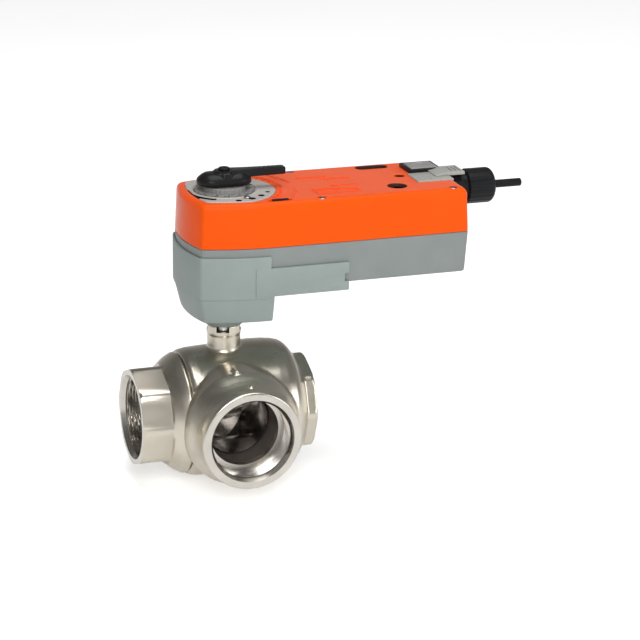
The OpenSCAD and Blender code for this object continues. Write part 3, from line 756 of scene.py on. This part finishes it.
class VALVE_OT_cover(bpy.types.Operator):
    """Orange top cover with its dial well, access holes, pockets and raised scale ring"""

    bl_idname = "valve.cover"
    bl_label = "Top cover"

    def execute(self, context):
        h = context.scene.valve_housing
        z0, z1 = low("top_cover")[2], high("top_cover")[2]
        half, nose, end = high("top_cover")[1], low("top_cover")[0], high("top_cover")[0]
        z_round = z1 - h.top_round
        lean = h.draft * 0.95
        outer = [(z0, -0.5, end - 0.5), (z0 + 0.5, -0.02, end - 0.02)]
        outer += [(z, -lean * (z - z0), end - lean * (z - z0)) for z in (z0 + 8, z0 + 18)]
        g = -lean * (z_round - z0)
        outer += rounded_top(z1, h.top_round, g, end + g, lean)
        inner = [(z0 - 1, -h.wall, end - h.wall), (z1 - h.wall - 1.5, -h.wall - 1.8, end - h.wall - 1.8)]
        inner += [(z1 - h.wall, -h.wall - 4, end - h.wall - 4)]
        cover = loft("top_cover_shell", shell_rings(outer, half, nose))
        cut(cover, loft("hollow", shell_rings(inner, half, nose)))
        ring = turned(
            "ring",
            [(z1 - 1, h.dial + 0.5), (z1 - 1, h.scale_ring), (z1 + 0.7, h.scale_ring - 0.5),
             (z1 + 0.7, h.scale_ring - 1.8), (z1 + 0.15, h.scale_ring - 2.1), (z1 + 0.15, h.dial + 0.7)],
            Z, sides=128, closed=True,
        )  # fmt: skip
        inset = -h.top_round - 2.2
        fuse(cover, trim(ring, [(z1 - 2, inset, 80), (z1 + 2, inset, 80)], half, nose))
        well = rod("well", z1 - 1.5, z1 + 2, h.dial, sides=128)
        trim(well, [(z1 - 3, -7, 80), (z1 + 3, -7, 80)], half, nose)
        cut(cover, well, rod("hole", z1 - 8, z1 + 3, 21.6, sides=96))
        for node, r in (("direction_switch", 3.8), ("crank_spindle", 6.7)):
            centre = node_centre(node)
            stations = [(z1 - 12, r), (z1 - 0.5, r), (z1 + 1, r + 1.5)]
            cut(cover, turned("hole", stations, Z, Vector((centre[0], centre[1], 0)), 64))
        cut(cover, stadium("pocket", RECESS, 24.0, 9.4, z1 - 6, z1 + 2, 0.5))
        slot_x, slot_y = node_centre("stop_slider")
        cut(cover, slab("slot", (slot_x - 8.5, slot_y - 1.7, z1 - 6), (slot_x + 8.5, slot_y + 1.7, z1 + 2), 0))
        bl, bh = low("button_bezel"), high("button_bezel")
        cut(cover, slab("window", (bl[0] + 1, bl[1] + 1, z1 - 6), (bh[0] - 1, bh[1] - 1, z1 + 2), 0))
        tl, th = low("terminal_cover"), high("terminal_cover")
        cut(cover, slab("bed", (tl[0] - 0.2, tl[1] - 0.2, z1 - 1.2), (th[0] + 0.2, th[1] + 0.2, z1 + 2), 0))
        gy, gz = gland_axis()
        cut(cover, turned("entry", [(end - 12, 8), (end + 4, 8)], X, Vector((0, gy, gz)), 48))
        stations = [(z1 - 8, 1.7), (z1 - 1.6, 1.7), (z1 - 1.6, 3.2), (z1 - 0.3, 3.2), (z1 + 1, 4.5)]
        for x, y in screw_places():
            cut(cover, turned("screw_hole", stations, Z, Vector((x, y, 0)), 40))
        fuse(cover, *raised_marks(z1, h))
        finish_piece(cover, "root", "cover_plastic", ["top_cover"])
        wells = [(node_centre("direction_switch"), 4.0), (node_centre("crank_spindle"), 7.0), (RECESS, 13.0)]

        def in_well(c):
            return z1 - 7 < c.z < z1 - 0.15 and any(math.hypot(c.x - x, c.y - y) < r for (x, y), r in wells)

        paint(cover, finishes()["well_shadow"], in_well)
        return {"FINISHED"}


def node_centre(node):
    """The middle of a node in plan, in millimetres."""
    l, h = low(node), high(node)
    return (l[0] + h[0]) / 2, (l[1] + h[1]) / 2


def gland_axis():
    """Across and up to the middle of the cable entry."""
    l, h = low("gland_nut"), high("gland_nut")
    return (l[1] + h[1]) / 2, (l[2] + h[2]) / 2


def screw_places():
    """The cover's four screws in plan."""
    l, h = low("cover_screws"), high("cover_screws")
    return [(x, y) for x in (l[0] + 2.9, h[0] - 2.9) for y in (l[1] + 2.9, h[1] - 2.9)]


def stadium(name, centre, length, width, z0, z1, flare=0.0):
    """A slot-shaped solid along X, flared at its top."""
    r, reach = width / 2, (length - width) / 2
    rings = []
    for z, grow in ((z0, 0), (z1 - 2.5, 0), (z1, flare * 4)):
        pts = arc((centre[0] + reach, centre[1]), r + grow, -90, 90, 12)
        pts += arc((centre[0] - reach, centre[1]), r + grow, 90, 270, 12)
        rings.append(flat(pts, z))
    return loft(name, rings)


ROOT, PROUD = 0.6, 0.5  # how far the raised marks reach into the cover and stand out of it


def raised_marks(z1, h):
    """Scale ticks around the dial and plain turning arrows, standing a little proud of the cover."""
    marks = []
    tick_r0, tick_r1, rise = h.dial + 2.0, h.scale_ring - 2.2, 0.7
    frame_low, frame_high, rule = (60, -28), (92, -19), 1.1
    x0, y0, x1, y1 = *frame_low, *frame_high
    for k in range(-5, 6):
        tick = slab("tick", (tick_r0, -0.35, z1 - ROOT), (tick_r1, 0.35, z1 + rise), 0)
        marks.append(turn_about(tick, (0, 0, 0), k * 9.0))
    for side in (1, -1):
        for first, last in ((8, 22), (25, 36)):
            marks.append(arc_slot("band", 50.2, 51.6, side * first, side * last, z1 - ROOT, z1 + PROUD))
        marks += arrow((58, side * 16), (76, side * 16), z1) + arrow((96, side * 9), (80, side * 9), z1)
    for a0, b0, a1, b1 in (
        (x0, y0, x1, y0 + rule), (x0, y1 - rule, x1, y1),
        (x0, y0 + 1.05, x0 + rule, y1 - 1.05), (x1 - rule, y0 + 1.05, x1, y1 - 1.05),
    ):  # fmt: skip
        marks.append(slab("bar", (a0, b0, z1 - ROOT), (a1, b1, z1 + PROUD), 0))
    return marks


def arrow(start, end, z1):
    """A plain raised arrow along X."""
    way = math.copysign(1, end[0] - start[0])
    x0, x1 = sorted((start[0], end[0]))
    stem = slab("bar", (x0, end[1] - 0.6, z1 - ROOT), (x1, end[1] + 0.6, z1 + PROUD), 0)
    head = [(end[0] - 0.4 * way, end[1] - 2.4), (end[0] + 4.6 * way, end[1]), (end[0] - 0.4 * way, end[1] + 2.4)]
    return [stem, loft("head", [flat(head, z) for z in (z1 - ROOT, z1 + PROUD)])]


class VALVE_OT_base(bpy.types.Operator):
    """Grey base housing under the cover"""

    bl_idname = "valve.base"
    bl_label = "Base housing"

    def execute(self, context):
        h = context.scene.valve_housing
        z0, z1 = low("base_housing")[2], high("base_housing")[2]
        half, nose, end = high("base_housing")[1], low("base_housing")[0], high("base_housing")[0]
        levels = []
        foot = 1.6
        for k in range(5):
            a = math.pi / 2 * k / 4
            z = z0 + foot * (1 - math.cos(a))
            g = -h.draft * (z1 - z) - foot * (1 - math.sin(a))
            levels.append((z, g, end + g))
        levels += [(z, -h.draft * (z1 - z), end - h.draft * (z1 - z)) for z in (z0 + 12, z1 - 3.2)]
        levels += [(z1 - 0.35, -0.05, end - 0.05), (z1, -0.5, end - 0.5)]
        base = loft("base_housing_shell", shell_rings(levels, half, nose))
        hollow = [(z0 + 3, -h.wall - 1.2, end - h.wall - 1.2), (z1 + 1, -h.wall, end - h.wall)]
        cut(base, loft("hollow", shell_rings(hollow, half, nose)))
        cut(base, rod("hole", z0 - 1, z0 + 6, 15, sides=64))
        fuse(base, *[rod("post", z0 + 2, z1 - 0.6, 3.4, place) for place in screw_places()])
        for place in screw_places():
            cut(base, rod("pilot", z0 + 10, z1 + 1, 1.5, place, 24))
        finish_piece(base, "root", "base_plastic", ["base_housing"])
        return {"FINISHED"}


class VALVE_OT_bracket(bpy.types.Operator):
    """Grey mounting bracket that wraps the base's nose and reaches out along it"""

    bl_idname = "valve.bracket"
    bl_label = "Mounting bracket"

    def execute(self, context):
        half, nose = high("base_housing")[1], low("base_housing")[0]
        z_low, z_top = low("mounting_bracket")[2], high("mounting_bracket")[2]
        arm_end, grow = high("mounting_bracket")[0], 1.6
        head_end, box_end = 21.0, 23.8
        box_low, ridge, arm_low, arm_top, floor = 75.5, 92.5, 95.0, 115.5, 100.0
        head = loft(
            "mounting_bracket_shell",
            shell_rings(
                [(ridge + 1, grow - 0.5, head_end), (ridge + 1.6, grow, head_end), (z_top - 0.4, grow, head_end),
                 (z_top, grow - 0.4, head_end - 0.4)],
                half, nose,
            ),
        )  # fmt: skip
        box_levels = [
            (box_low, grow - 6.2, box_end - 1.0), (box_low + 0.5, grow - 5.3, box_end - 0.4),
            (box_low + 1.4, grow - 4.8, box_end), (ridge - 0.6, grow - 1.1, box_end),
            (ridge + 0.4, grow - 0.9, box_end), (arm_low + 2, grow - 0.9, box_end),
        ]  # fmt: skip
        box = loft("box", shell_rings(box_levels, half, nose))
        arm = slab("arm", (10, -half - grow, arm_low), (arm_end, half + grow, arm_top), 0.7)
        stations = [(z_low, 13.4), (z_low + 0.4, 13.9), (z_low + 4.9, 17), (z_low + 18, 17)]
        boss = turned("boss", stations, Z, sides=72)
        fuse(head, box, arm, boss)
        room = [(floor, 0.08, arm_end + 6), (z_top + 3, 0.08, arm_end + 6)]
        pocket = loft("pocket", shell_rings(room, half, nose))
        notch = slab("notch", (arm_end - 3.6, -60, 101.6), (arm_end + 3, 60, 107.6), 0)
        cavity = slab("cavity", (-21, -30, box_low + 3), (19, 30, floor + 2), 0)
        cut(cavity, rod("core", box_low, floor + 5, 17, sides=72))
        cut(head, pocket, notch, cavity, rod("hole", 60, floor + 2, 12.6, sides=64))
        for x in (32, 68):
            for y in (-28, 28):
                cut(head, rod("hole", arm_low - 1, floor + 1, 2.1, (x, y)))
        round_edges(head, 0.35, 2, 35)
        finish_piece(head, "root", "bracket_plastic", ["mounting_bracket"])
        return {"FINISHED"}


# ---------------------------------------------------------------- top of the actuator


# pockets in the dial: x, y, radius; their floors are painted black as painted shade
PITS = ((1.5, -30.0, 2.3), (12.0, -27.4, 2.6), (20.5, -21.5, 2.4), (27.5, -14.0, 1.7))


class VALVE_OT_dial(bpy.types.Operator):
    """Grey dial plate with its arc slot and pits"""

    bl_idname = "valve.dial"
    bl_label = "Dial plate"

    def execute(self, context):
        h = context.scene.valve_housing
        half, nose = high("top_cover")[1], low("top_cover")[0]
        z0, z1 = low("dial_plate")[2], high("dial_plate")[2]
        edge = [(z0, h.dial - 0.3), (z1 - 0.3, h.dial - 0.3), (z1, h.dial - 0.7)]
        disc = turned("dial_plate_shell", edge, Z, sides=128)
        trim(disc, [(z0 - 1, -7.25, 80), (z1 - 0.4, -7.25, 80), (z1 + 0.01, -7.7, 80)], half, nose)
        stations = [(z1 - 0.4, 22.4), (z1 - 0.4, 24.0), (z1 + 0.5, 23.7), (z1 + 0.5, 22.7)]
        fuse(disc, turned("lip", stations, Z, sides=96, closed=True))
        cut(disc, turned("hole", [(z0 - 1, 21.6), (z1 - 0.2, 21.6), (z1 + 1.5, 22.6)], Z, sides=96))
        # the slot and pits stop 0.25 mm above the plate's underside, so that their floors can be painted black as
        # painted shade
        cut(disc, arc_slot("arc_slot", 24.6, 28.6, 172, 238, z0 + 0.25, z1 + 2))
        for x, y, r in PITS:
            cut(disc, rod("pit", z0 + 0.25, z1 + 2, r, (x, y), 24))
        finish_piece(disc, "root", "dial_plastic", ["dial_plate"])

        # painted shade: the floors and walls of the arc slot and the pits get the black plastic finish in place of
        # the shadow inside them
        def in_painted_shade(c):
            return z0 + 0.1 < c.z < z1 - 0.1 and (
                (24.4 < math.hypot(c.x, c.y) < 28.8 and c.x < 0 and c.y < 6)
                or any(math.hypot(c.x - x, c.y - y) < r + 0.1 for x, y, r in PITS)
            )

        paint(disc, finishes()["black_plastic"], in_painted_shade)
        return {"FINISHED"}


def arc_slot(name, r0, r1, first, last, z0, z1):
    """A curved slot between two radii, with round ends."""
    mid, half = (r0 + r1) / 2, (r1 - r0) / 2
    end = (mid * math.cos(math.radians(last)), mid * math.sin(math.radians(last)))
    start = (mid * math.cos(math.radians(first)), mid * math.sin(math.radians(first)))
    pts = arc((0, 0), r1, first, last, 20)
    pts += arc(end, half, last, last + 180, 8)[1:-1]
    pts += arc((0, 0), r0, last, first, 20)
    pts += arc(start, half, first + 180, first + 360, 8)[1:-1]
    return loft(name, [flat(pts, z) for z in (z0, z1)])


class VALVE_OT_ring(bpy.types.Operator):
    """Position ring with its pointer and clamp teeth, turning with the stem"""

    bl_idname = "valve.ring"
    bl_label = "Position ring"

    def execute(self, context):
        z0, z1 = low("position_ring")[2], high("position_ring")[2]
        outer = high("position_ring")[0]
        ring = turned(
            "position_ring_shell",
            [
                (z0, outer - 0.4), (z0 + 3.2, outer), (z0 + 3.9, outer - 0.6), (z0 + 3.9, 17.6), (z0 + 3.3, 17.2),
                (z0 + 3.3, 15.6), (z1 - 0.5, 15.0), (z1, 14.4), (z1, 8.1), (z0, 8.1),
            ],
            Z, sides=192, shape=knurl, closed=True,
        )  # fmt: skip
        pointer = slab("pointer", (15.5, -2.2, z0 + 3.2), (20.6, 2.2, z0 + 4.9), 0.5)
        fuse(ring, pointer)
        for k in range(12):
            if k not in (0, 1, 11):
                a = math.radians(30 * k)
                cut(ring, rod("pit", z0 + 2.6, z0 + 5, 1.0, (19.4 * math.cos(a), 19.4 * math.sin(a)), 16))
        finish_piece(ring, "rotor", "ring_plastic", ["position_ring"])
        return {"FINISHED"}


def knurl(t, angle, r):
    """Flutes on the upper collar and deep notches around the outer edge."""
    if 14.2 < r < 15.7:
        return r - 0.35 * (0.5 + 0.5 * math.cos(angle * 30))
    if r > 19 and math.cos(angle * 16) < -0.35:
        return r - 1.5
    return r


class VALVE_OT_handle(bpy.types.Operator):
    """Black lever handle with an oval hub, a tapered lever and a screw boss"""

    bl_idname = "valve.handle"
    bl_label = "Lever handle"

    def execute(self, context):
        z0, z1 = low("lever_handle")[2], high("lever_handle")[2]
        reach = high("lever_handle")[0]
        back = -low("lever_handle")[0]
        width = high("lever_handle")[1]

        def oval(z, grow):
            pts = arc((back - width, 0), width + grow, -90, 90, 18)
            pts += arc((-(back - width), 0), width + grow, 90, 270, 18)
            return flat(pts, z)

        hub = loft(
            "lever_handle_shell",
            [oval(z0, -1.4), oval(z0 + 0.5, -0.5), oval(z0 + 1.2, -0.1), oval(z0 + 3.6, -0.1), oval(z0 + 4.6, -0.5),
             oval(z0 + 6.0, -1.9), oval(z0 + 7.2, -3.3), oval(z0 + 8.2, -5.0), oval(z0 + 8.6, -6.4)],
        )  # fmt: skip
        profile = [(z0 + 4.6, -0.7), (z0 + 5.1, 0), (z1 - 1.1, 0), (z1 - 0.5, -0.25), (z1 - 0.15, -0.9)]
        lever = loft("lever", [flat(lever_plan(reach, grow), z) for z, grow in profile])
        stations = [(z0 + 6, 9.6), (z0 + 8.2, 8.9), (z1 - 1.2, 8.0), (z1 - 0.3, 7.4), (z1, 6.6)]
        boss = turned("boss", stations, Z, sides=72, shape=scallop)
        fuse(hub, lever, boss)
        for side in (1, -1):
            for k in range(5):
                x, y = reach - 6 - 3.2 * k, side * 2.9
                cut(hub, slab("rib", (x - 0.45, y - 1.2, z1 - 0.5), (x + 0.45, y + 1.2, z1 + 0.05), 0))
        cut(hub, rod("counterbore", z1 - 1.4, z1 + 2, 4.3, sides=48))
        round_edges(hub, 0.22, 2, 40)
        finish_piece(hub, "rotor", "black_plastic", ["lever_handle"])
        return {"FINISHED"}


def lever_plan(reach, grow):
    """Plan of the lever: wide at the hub, narrow along its length, and square with round corners at its tip."""
    tip, half_tip, half_root, r = reach + grow, 3.9 + grow, 6.4 + grow, 1.2
    upper = [(-4, half_root), (6, half_root), (14, 5.2 + grow), (22, 4.5 + grow), (tip - r - 2, half_tip)]
    upper += arc((tip - r, half_tip - r), r, 90, 0, 4)
    return upper + [(x, -y) for x, y in reversed(upper)]


def scallop(t, angle, r):
    """Shallow flutes around the screw boss."""
    return r - 0.45 * (0.5 + 0.5 * math.cos(angle * 12))


class VALVE_OT_slider(bpy.types.Operator):
    """Black end-stop slider with a ribbed thumb pad"""

    bl_idname = "valve.slider"
    bl_label = "Stop slider"

    def execute(self, context):
        l, h = low("stop_slider"), high("stop_slider")
        foot = slab("stop_slider_shell", l, (h[0], h[1], l[2] + 1.35), 0.2)
        cx, cy = node_centre("stop_slider")
        pad = slab("pad", (cx - 5.7, cy - 1.4, l[2] + 1), (cx + 5.7, cy + 1.4, h[2]), 0.3)
        fuse(foot, pad)
        for k in range(-3, 4):
            x = cx + k * 1.5
            cut(foot, slab("rib", (x - 0.3, cy - 3, h[2] - 0.5), (x + 0.3, cy + 3, h[2] + 1), 0))
        finish_piece(foot, "slider", "black_plastic", ["stop_slider"])
        return {"FINISHED"}


def cross_head(name, centre, z0, z1, r, slot=0.8):
    """A pan-head screw with a crossed recess."""
    head = turned(name, [(z0, r - 0.1), (z1 - 0.5, r), (z1 - 0.15, r - 0.4), (z1, r - 1.1)], Z, centre, 40)
    x, y, reach = centre.x, centre.y, r * 0.62
    for turn in (0, 90):
        bar = slab("bar", (x - reach, y - slot / 2, z1 - 0.9), (x + reach, y + slot / 2, z1 + 1), 0)
        cut(head, turn_about(bar, (centre.x, centre.y, 0), turn + 20))
    return head


class VALVE_OT_screws(bpy.types.Operator):
    """Screw heads on the cover, the dial and the handle"""

    bl_idname = "valve.screws"
    bl_label = "Screws"

    def execute(self, context):
        foot, z1 = low("cover_screws")[2], high("cover_screws")[2]
        heads = [cross_head("head", Vector((x, y, 0)), z1 - 1.5, z1, 2.9) for x, y in screw_places()]
        shafts = [rod("shaft", foot, z1 - 1.4, 1.45, place, 24) for place in screw_places()]
        finish_piece(join("cover_screw_set", *heads, *shafts), "root", "zinc_steel", ["cover_screws"])
        l, h = low("dial_screws"), high("dial_screws")
        places = [(l[0] + 2.4, y) for y in (l[1] + 2.4, h[1] - 2.4)]
        heads = [cross_head("head", Vector((x, y, 0)), h[2] - 1.4, h[2], 2.4, 0.6) for x, y in places]
        shafts = [rod("shaft", l[2], h[2] - 1.3, 1.25, place, 24) for place in places]
        finish_piece(join("dial_screw_set", *heads, *shafts), "root", "zinc_steel", ["dial_screws"])
        l, h = low("handle_screw"), high("handle_screw")
        cap = cross_head("handle_screw_head", ORIGIN, l[2], h[2], h[0], 1.0)
        finish_piece(cap, "rotor", "black_plastic", ["handle_screw"])
        return {"FINISHED"}


class VALVE_OT_button(bpy.types.Operator):
    """Raised black frame with the grey push button in it"""

    bl_idname = "valve.button"
    bl_label = "Push button"

    def execute(self, context):
        l, h = low("button_bezel"), high("button_bezel")
        bezel = slab("button_bezel_shell", l, h, 0.6, 3)
        cut(bezel, slab("window", (l[0] + 1.8, l[1] + 1.8, l[2] - 2), (h[0] - 1.8, h[1] - 1.8, h[2] + 2), 0.3))
        finish_piece(bezel, "root", "black_plastic", ["button_bezel"])
        l, h = low("push_button"), high("push_button")
        z_top = high("top_cover")[2]
        cap = slab("push_button_cap", (l[0], l[1], z_top - 1.6), h, 0.7, 3)
        cx, cy = node_centre("push_button")
        dish = turned("dish", [(h[2] - 0.5, 5.2), (h[2] + 0.6, 6.3)], Z, Vector((cx, cy, 0)), 48)
        cut(cap, dish)
        fuse(cap, rod("stem", l[2], z_top - 1.5, 2, (l[0] + 12 - 2.1, l[1] + 11 - 2.1)))
        finish_piece(cap, "button", "button_plastic", ["push_button"])
        return {"FINISHED"}


class VALVE_OT_lids(bpy.types.Operator):
    """Grey terminal cover and the ribbed lid over the cable entry"""

    bl_idname = "valve.lids"
    bl_label = "Terminal lids"

    def execute(self, context):
        l, h = low("terminal_cover"), high("terminal_cover")
        plate = slab("terminal_cover_shell", l, h, 0.5, 3)
        for k in range(3):
            y = l[1] + 3 + 3.2 * k
            cut(plate, slab("groove", (l[0] + 2, y, h[2] - 0.35), (l[0] + 12, y + 1.2, h[2] + 1), 0))
        finish_piece(plate, "root", "lid_plastic", ["terminal_cover"])
        l, h = low("cable_lid"), high("cable_lid")
        ramp_x, step = l[0] + 10, 0.6
        side = [(l[0], l[2]), (h[0], l[2]), (h[0], h[2] - step), (h[0] - step, h[2])]
        side += [(ramp_x, h[2]), (l[0], l[2] + 0.6)]
        rings = [[Vector((x, y, z)) for x, z in side] for y in (l[1], h[1] - 0.5)]
        lid = loft("cable_lid_shell", rings)
        round_edges(lid, 0.4, 3, 25)
        for k in range(3):
            x = ramp_x + 3 + 3.0 * k
            cut(lid, slab("groove", (x, l[1] + 3, h[2] - 0.7), (x + 1.2, h[1] - 4, h[2] + 1), 0))
        finish_piece(lid, "root", "lid_plastic", ["cable_lid"])
        return {"FINISHED"}


# ---------------------------------------------------------------- cable entry


class VALVE_OT_gland(bpy.types.Operator):
    """Black cable gland: a hexagonal body and a ribbed dome nut"""

    bl_idname = "valve.gland"
    bl_label = "Cable gland"

    def execute(self, context):
        gy, gz = gland_axis()
        centre = Vector((0, gy, gz))
        l, h = low("gland_body"), high("gland_body")
        wall = high("top_cover")[0] + 0.3

        def hexed(t, angle, r):
            if r < 11:
                return r
            step = math.pi / 3
            off = ((angle + step / 2) % step) - step / 2
            return min(r, 12.0 * math.cos(step / 2) / math.cos(off))

        body = turned(
            "gland_body_shell",
            [(l[0], 5.5), (l[0], 7.9), (wall, 7.9), (wall, 11.1), (wall + 0.5, 12), (h[0] - 4.2, 12),
             (h[0] - 3.7, 11.1), (h[0] - 3.7, 10.6), (h[0], 10.6), (h[0], 5.5)],
            X, centre, 96, hexed, True,
        )  # fmt: skip
        finish_piece(body, "root", "gland_plastic", ["gland_body"])
        l, h = low("gland_nut"), high("gland_nut")
        r, x0, x1 = (h[1] - l[1]) / 2, l[0], h[0]

        def ribbed(t, angle, radius):
            if radius < r - 3 or t > x1 - 3.2:
                return radius
            return radius - 0.45 * max(0.0, math.cos(angle * 18))

        turns = [math.radians(10 * k) for k in range(9)]
        dome = [(x1 - 4.6 + 4.6 * math.sin(a), r - 6.0 + 6.0 * math.cos(a)) for a in turns]
        nut = turned(
            "gland_nut_shell",
            [(x0 + 12, 5.5), (x0, 5.5), (x0, r - 1.2), (x0 + 0.8, r)] + dome
            + [(x1, r - 6.6), (x1, 4.2), (x1 - 1.2, 3.15), (x1 - 2.6, 3.15)],
            X, centre, 144, ribbed, True,
        )  # fmt: skip
        finish_piece(nut, "root", "gland_plastic", ["gland_nut"])
        return {"FINISHED"}


class VALVE_OT_cable(bpy.types.Operator):
    """Black supply cable that runs straight out through the gland to a bare end"""

    bl_idname = "valve.cable"
    bl_label = "Supply cable"

    def execute(self, context):
        r = 2.9
        route = [(158, 0, 151), (192, 0, 151), (203, 0, 151), (214, 0, 151), (226, 0, 151)]
        start, end = route[0][0], route[-1][0]
        stations = [(start, r - 0.4), (start + 0.4, r)]
        stations += [(x, r) for x, _, _ in route[1:-1]]
        stations += [(end - 0.9, r), (end - 0.35, r - 0.25), (end - 0.05, r - 0.8), (end, r - 1.4)]
        tube = turned("supply_cable_sheath", stations, X, Vector((0, route[0][1], route[0][2])), 48)
        finish_piece(tube, "root", "cable_sheath", ["supply_cable"], 40)
        return {"FINISHED"}


# ---------------------------------------------------------------- pieces kept from the frame


KEPT = {
    "connector_seal": "seal_rubber", "ball": "ball_chrome", "seat_left": "seat_plastic",
    "seat_right": "seat_plastic", "seat_branch": "seat_plastic", "valve_stem": "stem_steel",
    "thrust_washer": "seat_plastic",
    "stem_o_rings": "seal_rubber", "gland_ring": "bare_brass", "bracket_screws": "zinc_steel",
    "drive_adapter": "stem_steel", "base_bush": "bare_brass", "output_gear": "gear_plastic",
    "idler_gear_a": "gear_plastic", "idler_gear_b": "gear_plastic", "motor_pinion": "zinc_steel",
    "override_idler": "gear_plastic", "crank_spindle": "motor_steel", "gear_axles": "zinc_steel",
    "gear_plate": "zinc_steel", "drive_motor": "motor_steel", "spring_case": "zinc_steel",
    "return_spring": "spring_steel", "circuit_board": "board_laminate", "board_components": "component_plastic",
    "terminal_block": "terminal_plastic", "direction_switch": "black_plastic", "button_spring": "spring_steel",
    "gland_seal": "seal_rubber",
}  # fmt: skip


class VALVE_OT_kept(bpy.types.Operator):
    """Finishes on the pieces that come straight from the frame"""

    bl_idname = "valve.kept"
    bl_label = "Inner pieces"

    def execute(self, context):
        mats = finishes()
        for node, slot in KEPT.items():
            slots = NODES[node].data.materials
            slots.clear()
            slots.append(mats[slot])
        return {"FINISHED"}


# ---------------------------------------------------------------- stage


class VALVE_OT_stage(bpy.types.Operator):
    """Pale floor, soft studio light and the camera"""

    bl_idname = "valve.stage"
    bl_label = "Stage"

    def execute(self, context):
        scene = context.scene
        s = scene.valve_stage
        a, e = math.radians(s.azimuth), math.radians(s.elevation)
        back = Vector((math.sin(a) * math.cos(e), -math.cos(a) * math.cos(e), math.sin(e)))
        camera_data = bpy.data.cameras.new("camera")
        camera_data.lens = s.lens
        camera_data.sensor_width = 36.0
        camera_data.clip_end = 100.0
        camera = bpy.data.objects.new("camera", camera_data)
        scene.collection.objects.link(camera)
        turn = back.to_track_quat("Z", "Y").to_matrix().to_4x4() @ Matrix.Rotation(math.radians(s.roll), 4, "Z")
        camera.matrix_world = Matrix.Translation(Vector(s.aim) + back * s.distance) @ turn
        scene.camera = camera
        scene.view_settings.view_transform = "Standard"
        floor_z = CAD_BOX[0][2] - 0.0005
        deselect()
        bpy.ops.mesh.primitive_plane_add(size=24.0, location=(0, 0, floor_z))
        floor = bpy.context.object
        floor.name = "floor"
        floor.data.materials.append(pale_floor())
        self.lights(scene, s)
        return {"FINISHED"}

    def lights(self, scene, s):
        world = bpy.data.worlds.new("studio")
        world.use_nodes = True
        world.node_tree.nodes["Background"].inputs["Strength"].default_value = s.sky
        world.node_tree.links.new(room_light(world.node_tree), world.node_tree.nodes["Background"].inputs["Color"])
        scene.world = world
        for name, place, size, power in (
            ("key", (-0.6, -2.2, 1.5), 1.5, 37.0),
            ("top", (0.3, -0.1, 2.6), 2.0, 36.0),
            ("fill", (2.2, -2.0, 0.9), 1.6, 19.0),
        ):
            lamp = bpy.data.lights.new(name, "AREA")
            lamp.shape = "DISK"
            lamp.size = size
            lamp.energy = power
            obj = bpy.data.objects.new(name, lamp)
            scene.collection.objects.link(obj)
            obj.location = place
            obj.rotation_euler = (Vector(s.aim) - Vector(place)).to_track_quat("-Z", "Y").to_euler()


def room_light(tree):
    """Pale at the horizon and dim overhead, as in a studio with a low white sweep."""
    coords = tree.nodes.new("ShaderNodeTexCoord")
    parts = tree.nodes.new("ShaderNodeSeparateXYZ")
    ramp = tree.nodes.new("ShaderNodeValToRGB")
    tree.links.new(coords.outputs["Generated"], parts.inputs["Vector"])
    tree.links.new(parts.outputs["Z"], ramp.inputs["Fac"])
    ramp.color_ramp.elements[0].position, ramp.color_ramp.elements[0].color = 0.0, (1.0, 0.99, 0.98, 1.0)
    ramp.color_ramp.elements[1].position, ramp.color_ramp.elements[1].color = 0.55, (0.28, 0.28, 0.28, 1.0)
    return ramp.outputs["Color"]


def pale_floor():
    """A pale floor that glows faintly where it is seen or mirrored."""
    n = Nodes("pale_floor")
    tone = n.ramp(n.noise(3.0), [(0.3, (0.90, 0.90, 0.90, 1)), (0.7, (0.93, 0.93, 0.93, 1))])
    n.link(tone, n.shader.inputs["Base Color"])
    n.shader.inputs["Roughness"].default_value = 0.9
    n.shader.inputs["Specular IOR Level"].default_value = 0.1
    n.shader.inputs["Emission Color"].default_value = (1, 1, 1, 1)
    path = n.tree.nodes.new("ShaderNodeLightPath").outputs
    seen, mirrored = n.between(path["Is Camera Ray"], 0.0, 0.5), n.between(path["Is Glossy Ray"], 0.0, 0.22)
    n.link(n.calc("ADD", seen, mirrored), n.shader.inputs["Emission Strength"])
    return n.mat


# ---------------------------------------------------------------- panel and registration


OPERATORS = (
    VALVE_OT_stage, VALVE_OT_cable, VALVE_OT_body, VALVE_OT_connector, VALVE_OT_cover,
    VALVE_OT_base, VALVE_OT_bracket, VALVE_OT_dial, VALVE_OT_ring, VALVE_OT_handle,
    VALVE_OT_slider, VALVE_OT_screws, VALVE_OT_button, VALVE_OT_lids, VALVE_OT_gland,
    VALVE_OT_kept,
)  # fmt: skip
GROUPS = {
    "valve_sizes": ValveSizes, "valve_housing": HousingSizes,
    "valve_finishes": Finishes, "valve_stage": StageSettings,
}  # fmt: skip


class VALVE_PT_panel(bpy.types.Panel):
    """Lists the steps that build the valve"""

    bl_idname = "VALVE_PT_panel"
    bl_label = "Zone valve"
    bl_space_type = "VIEW_3D"
    bl_region_type = "UI"
    bl_category = "Zone valve"

    def draw(self, context):
        for group in GROUPS:
            box = self.layout.box()
            settings = getattr(context.scene, group)
            for prop in settings.__annotations__:
                box.prop(settings, prop)
        for operator in OPERATORS:
            self.layout.operator(operator.bl_idname)


def register():
    for cls in (*GROUPS.values(), *OPERATORS, VALVE_PT_panel):
        bpy.utils.register_class(cls)
    for name, cls in GROUPS.items():
        setattr(bpy.types.Scene, name, bpy.props.PointerProperty(type=cls))


def unregister():
    for name in GROUPS:
        delattr(bpy.types.Scene, name)
    for cls in (VALVE_PT_panel, *reversed(OPERATORS), *reversed(list(GROUPS.values()))):
        bpy.utils.unregister_class(cls)


def main():
    register()
    for operator in OPERATORS:
        group, name = operator.bl_idname.split(".")
        getattr(getattr(bpy.ops, group), name)()


if __name__ == "__main__":
    main()
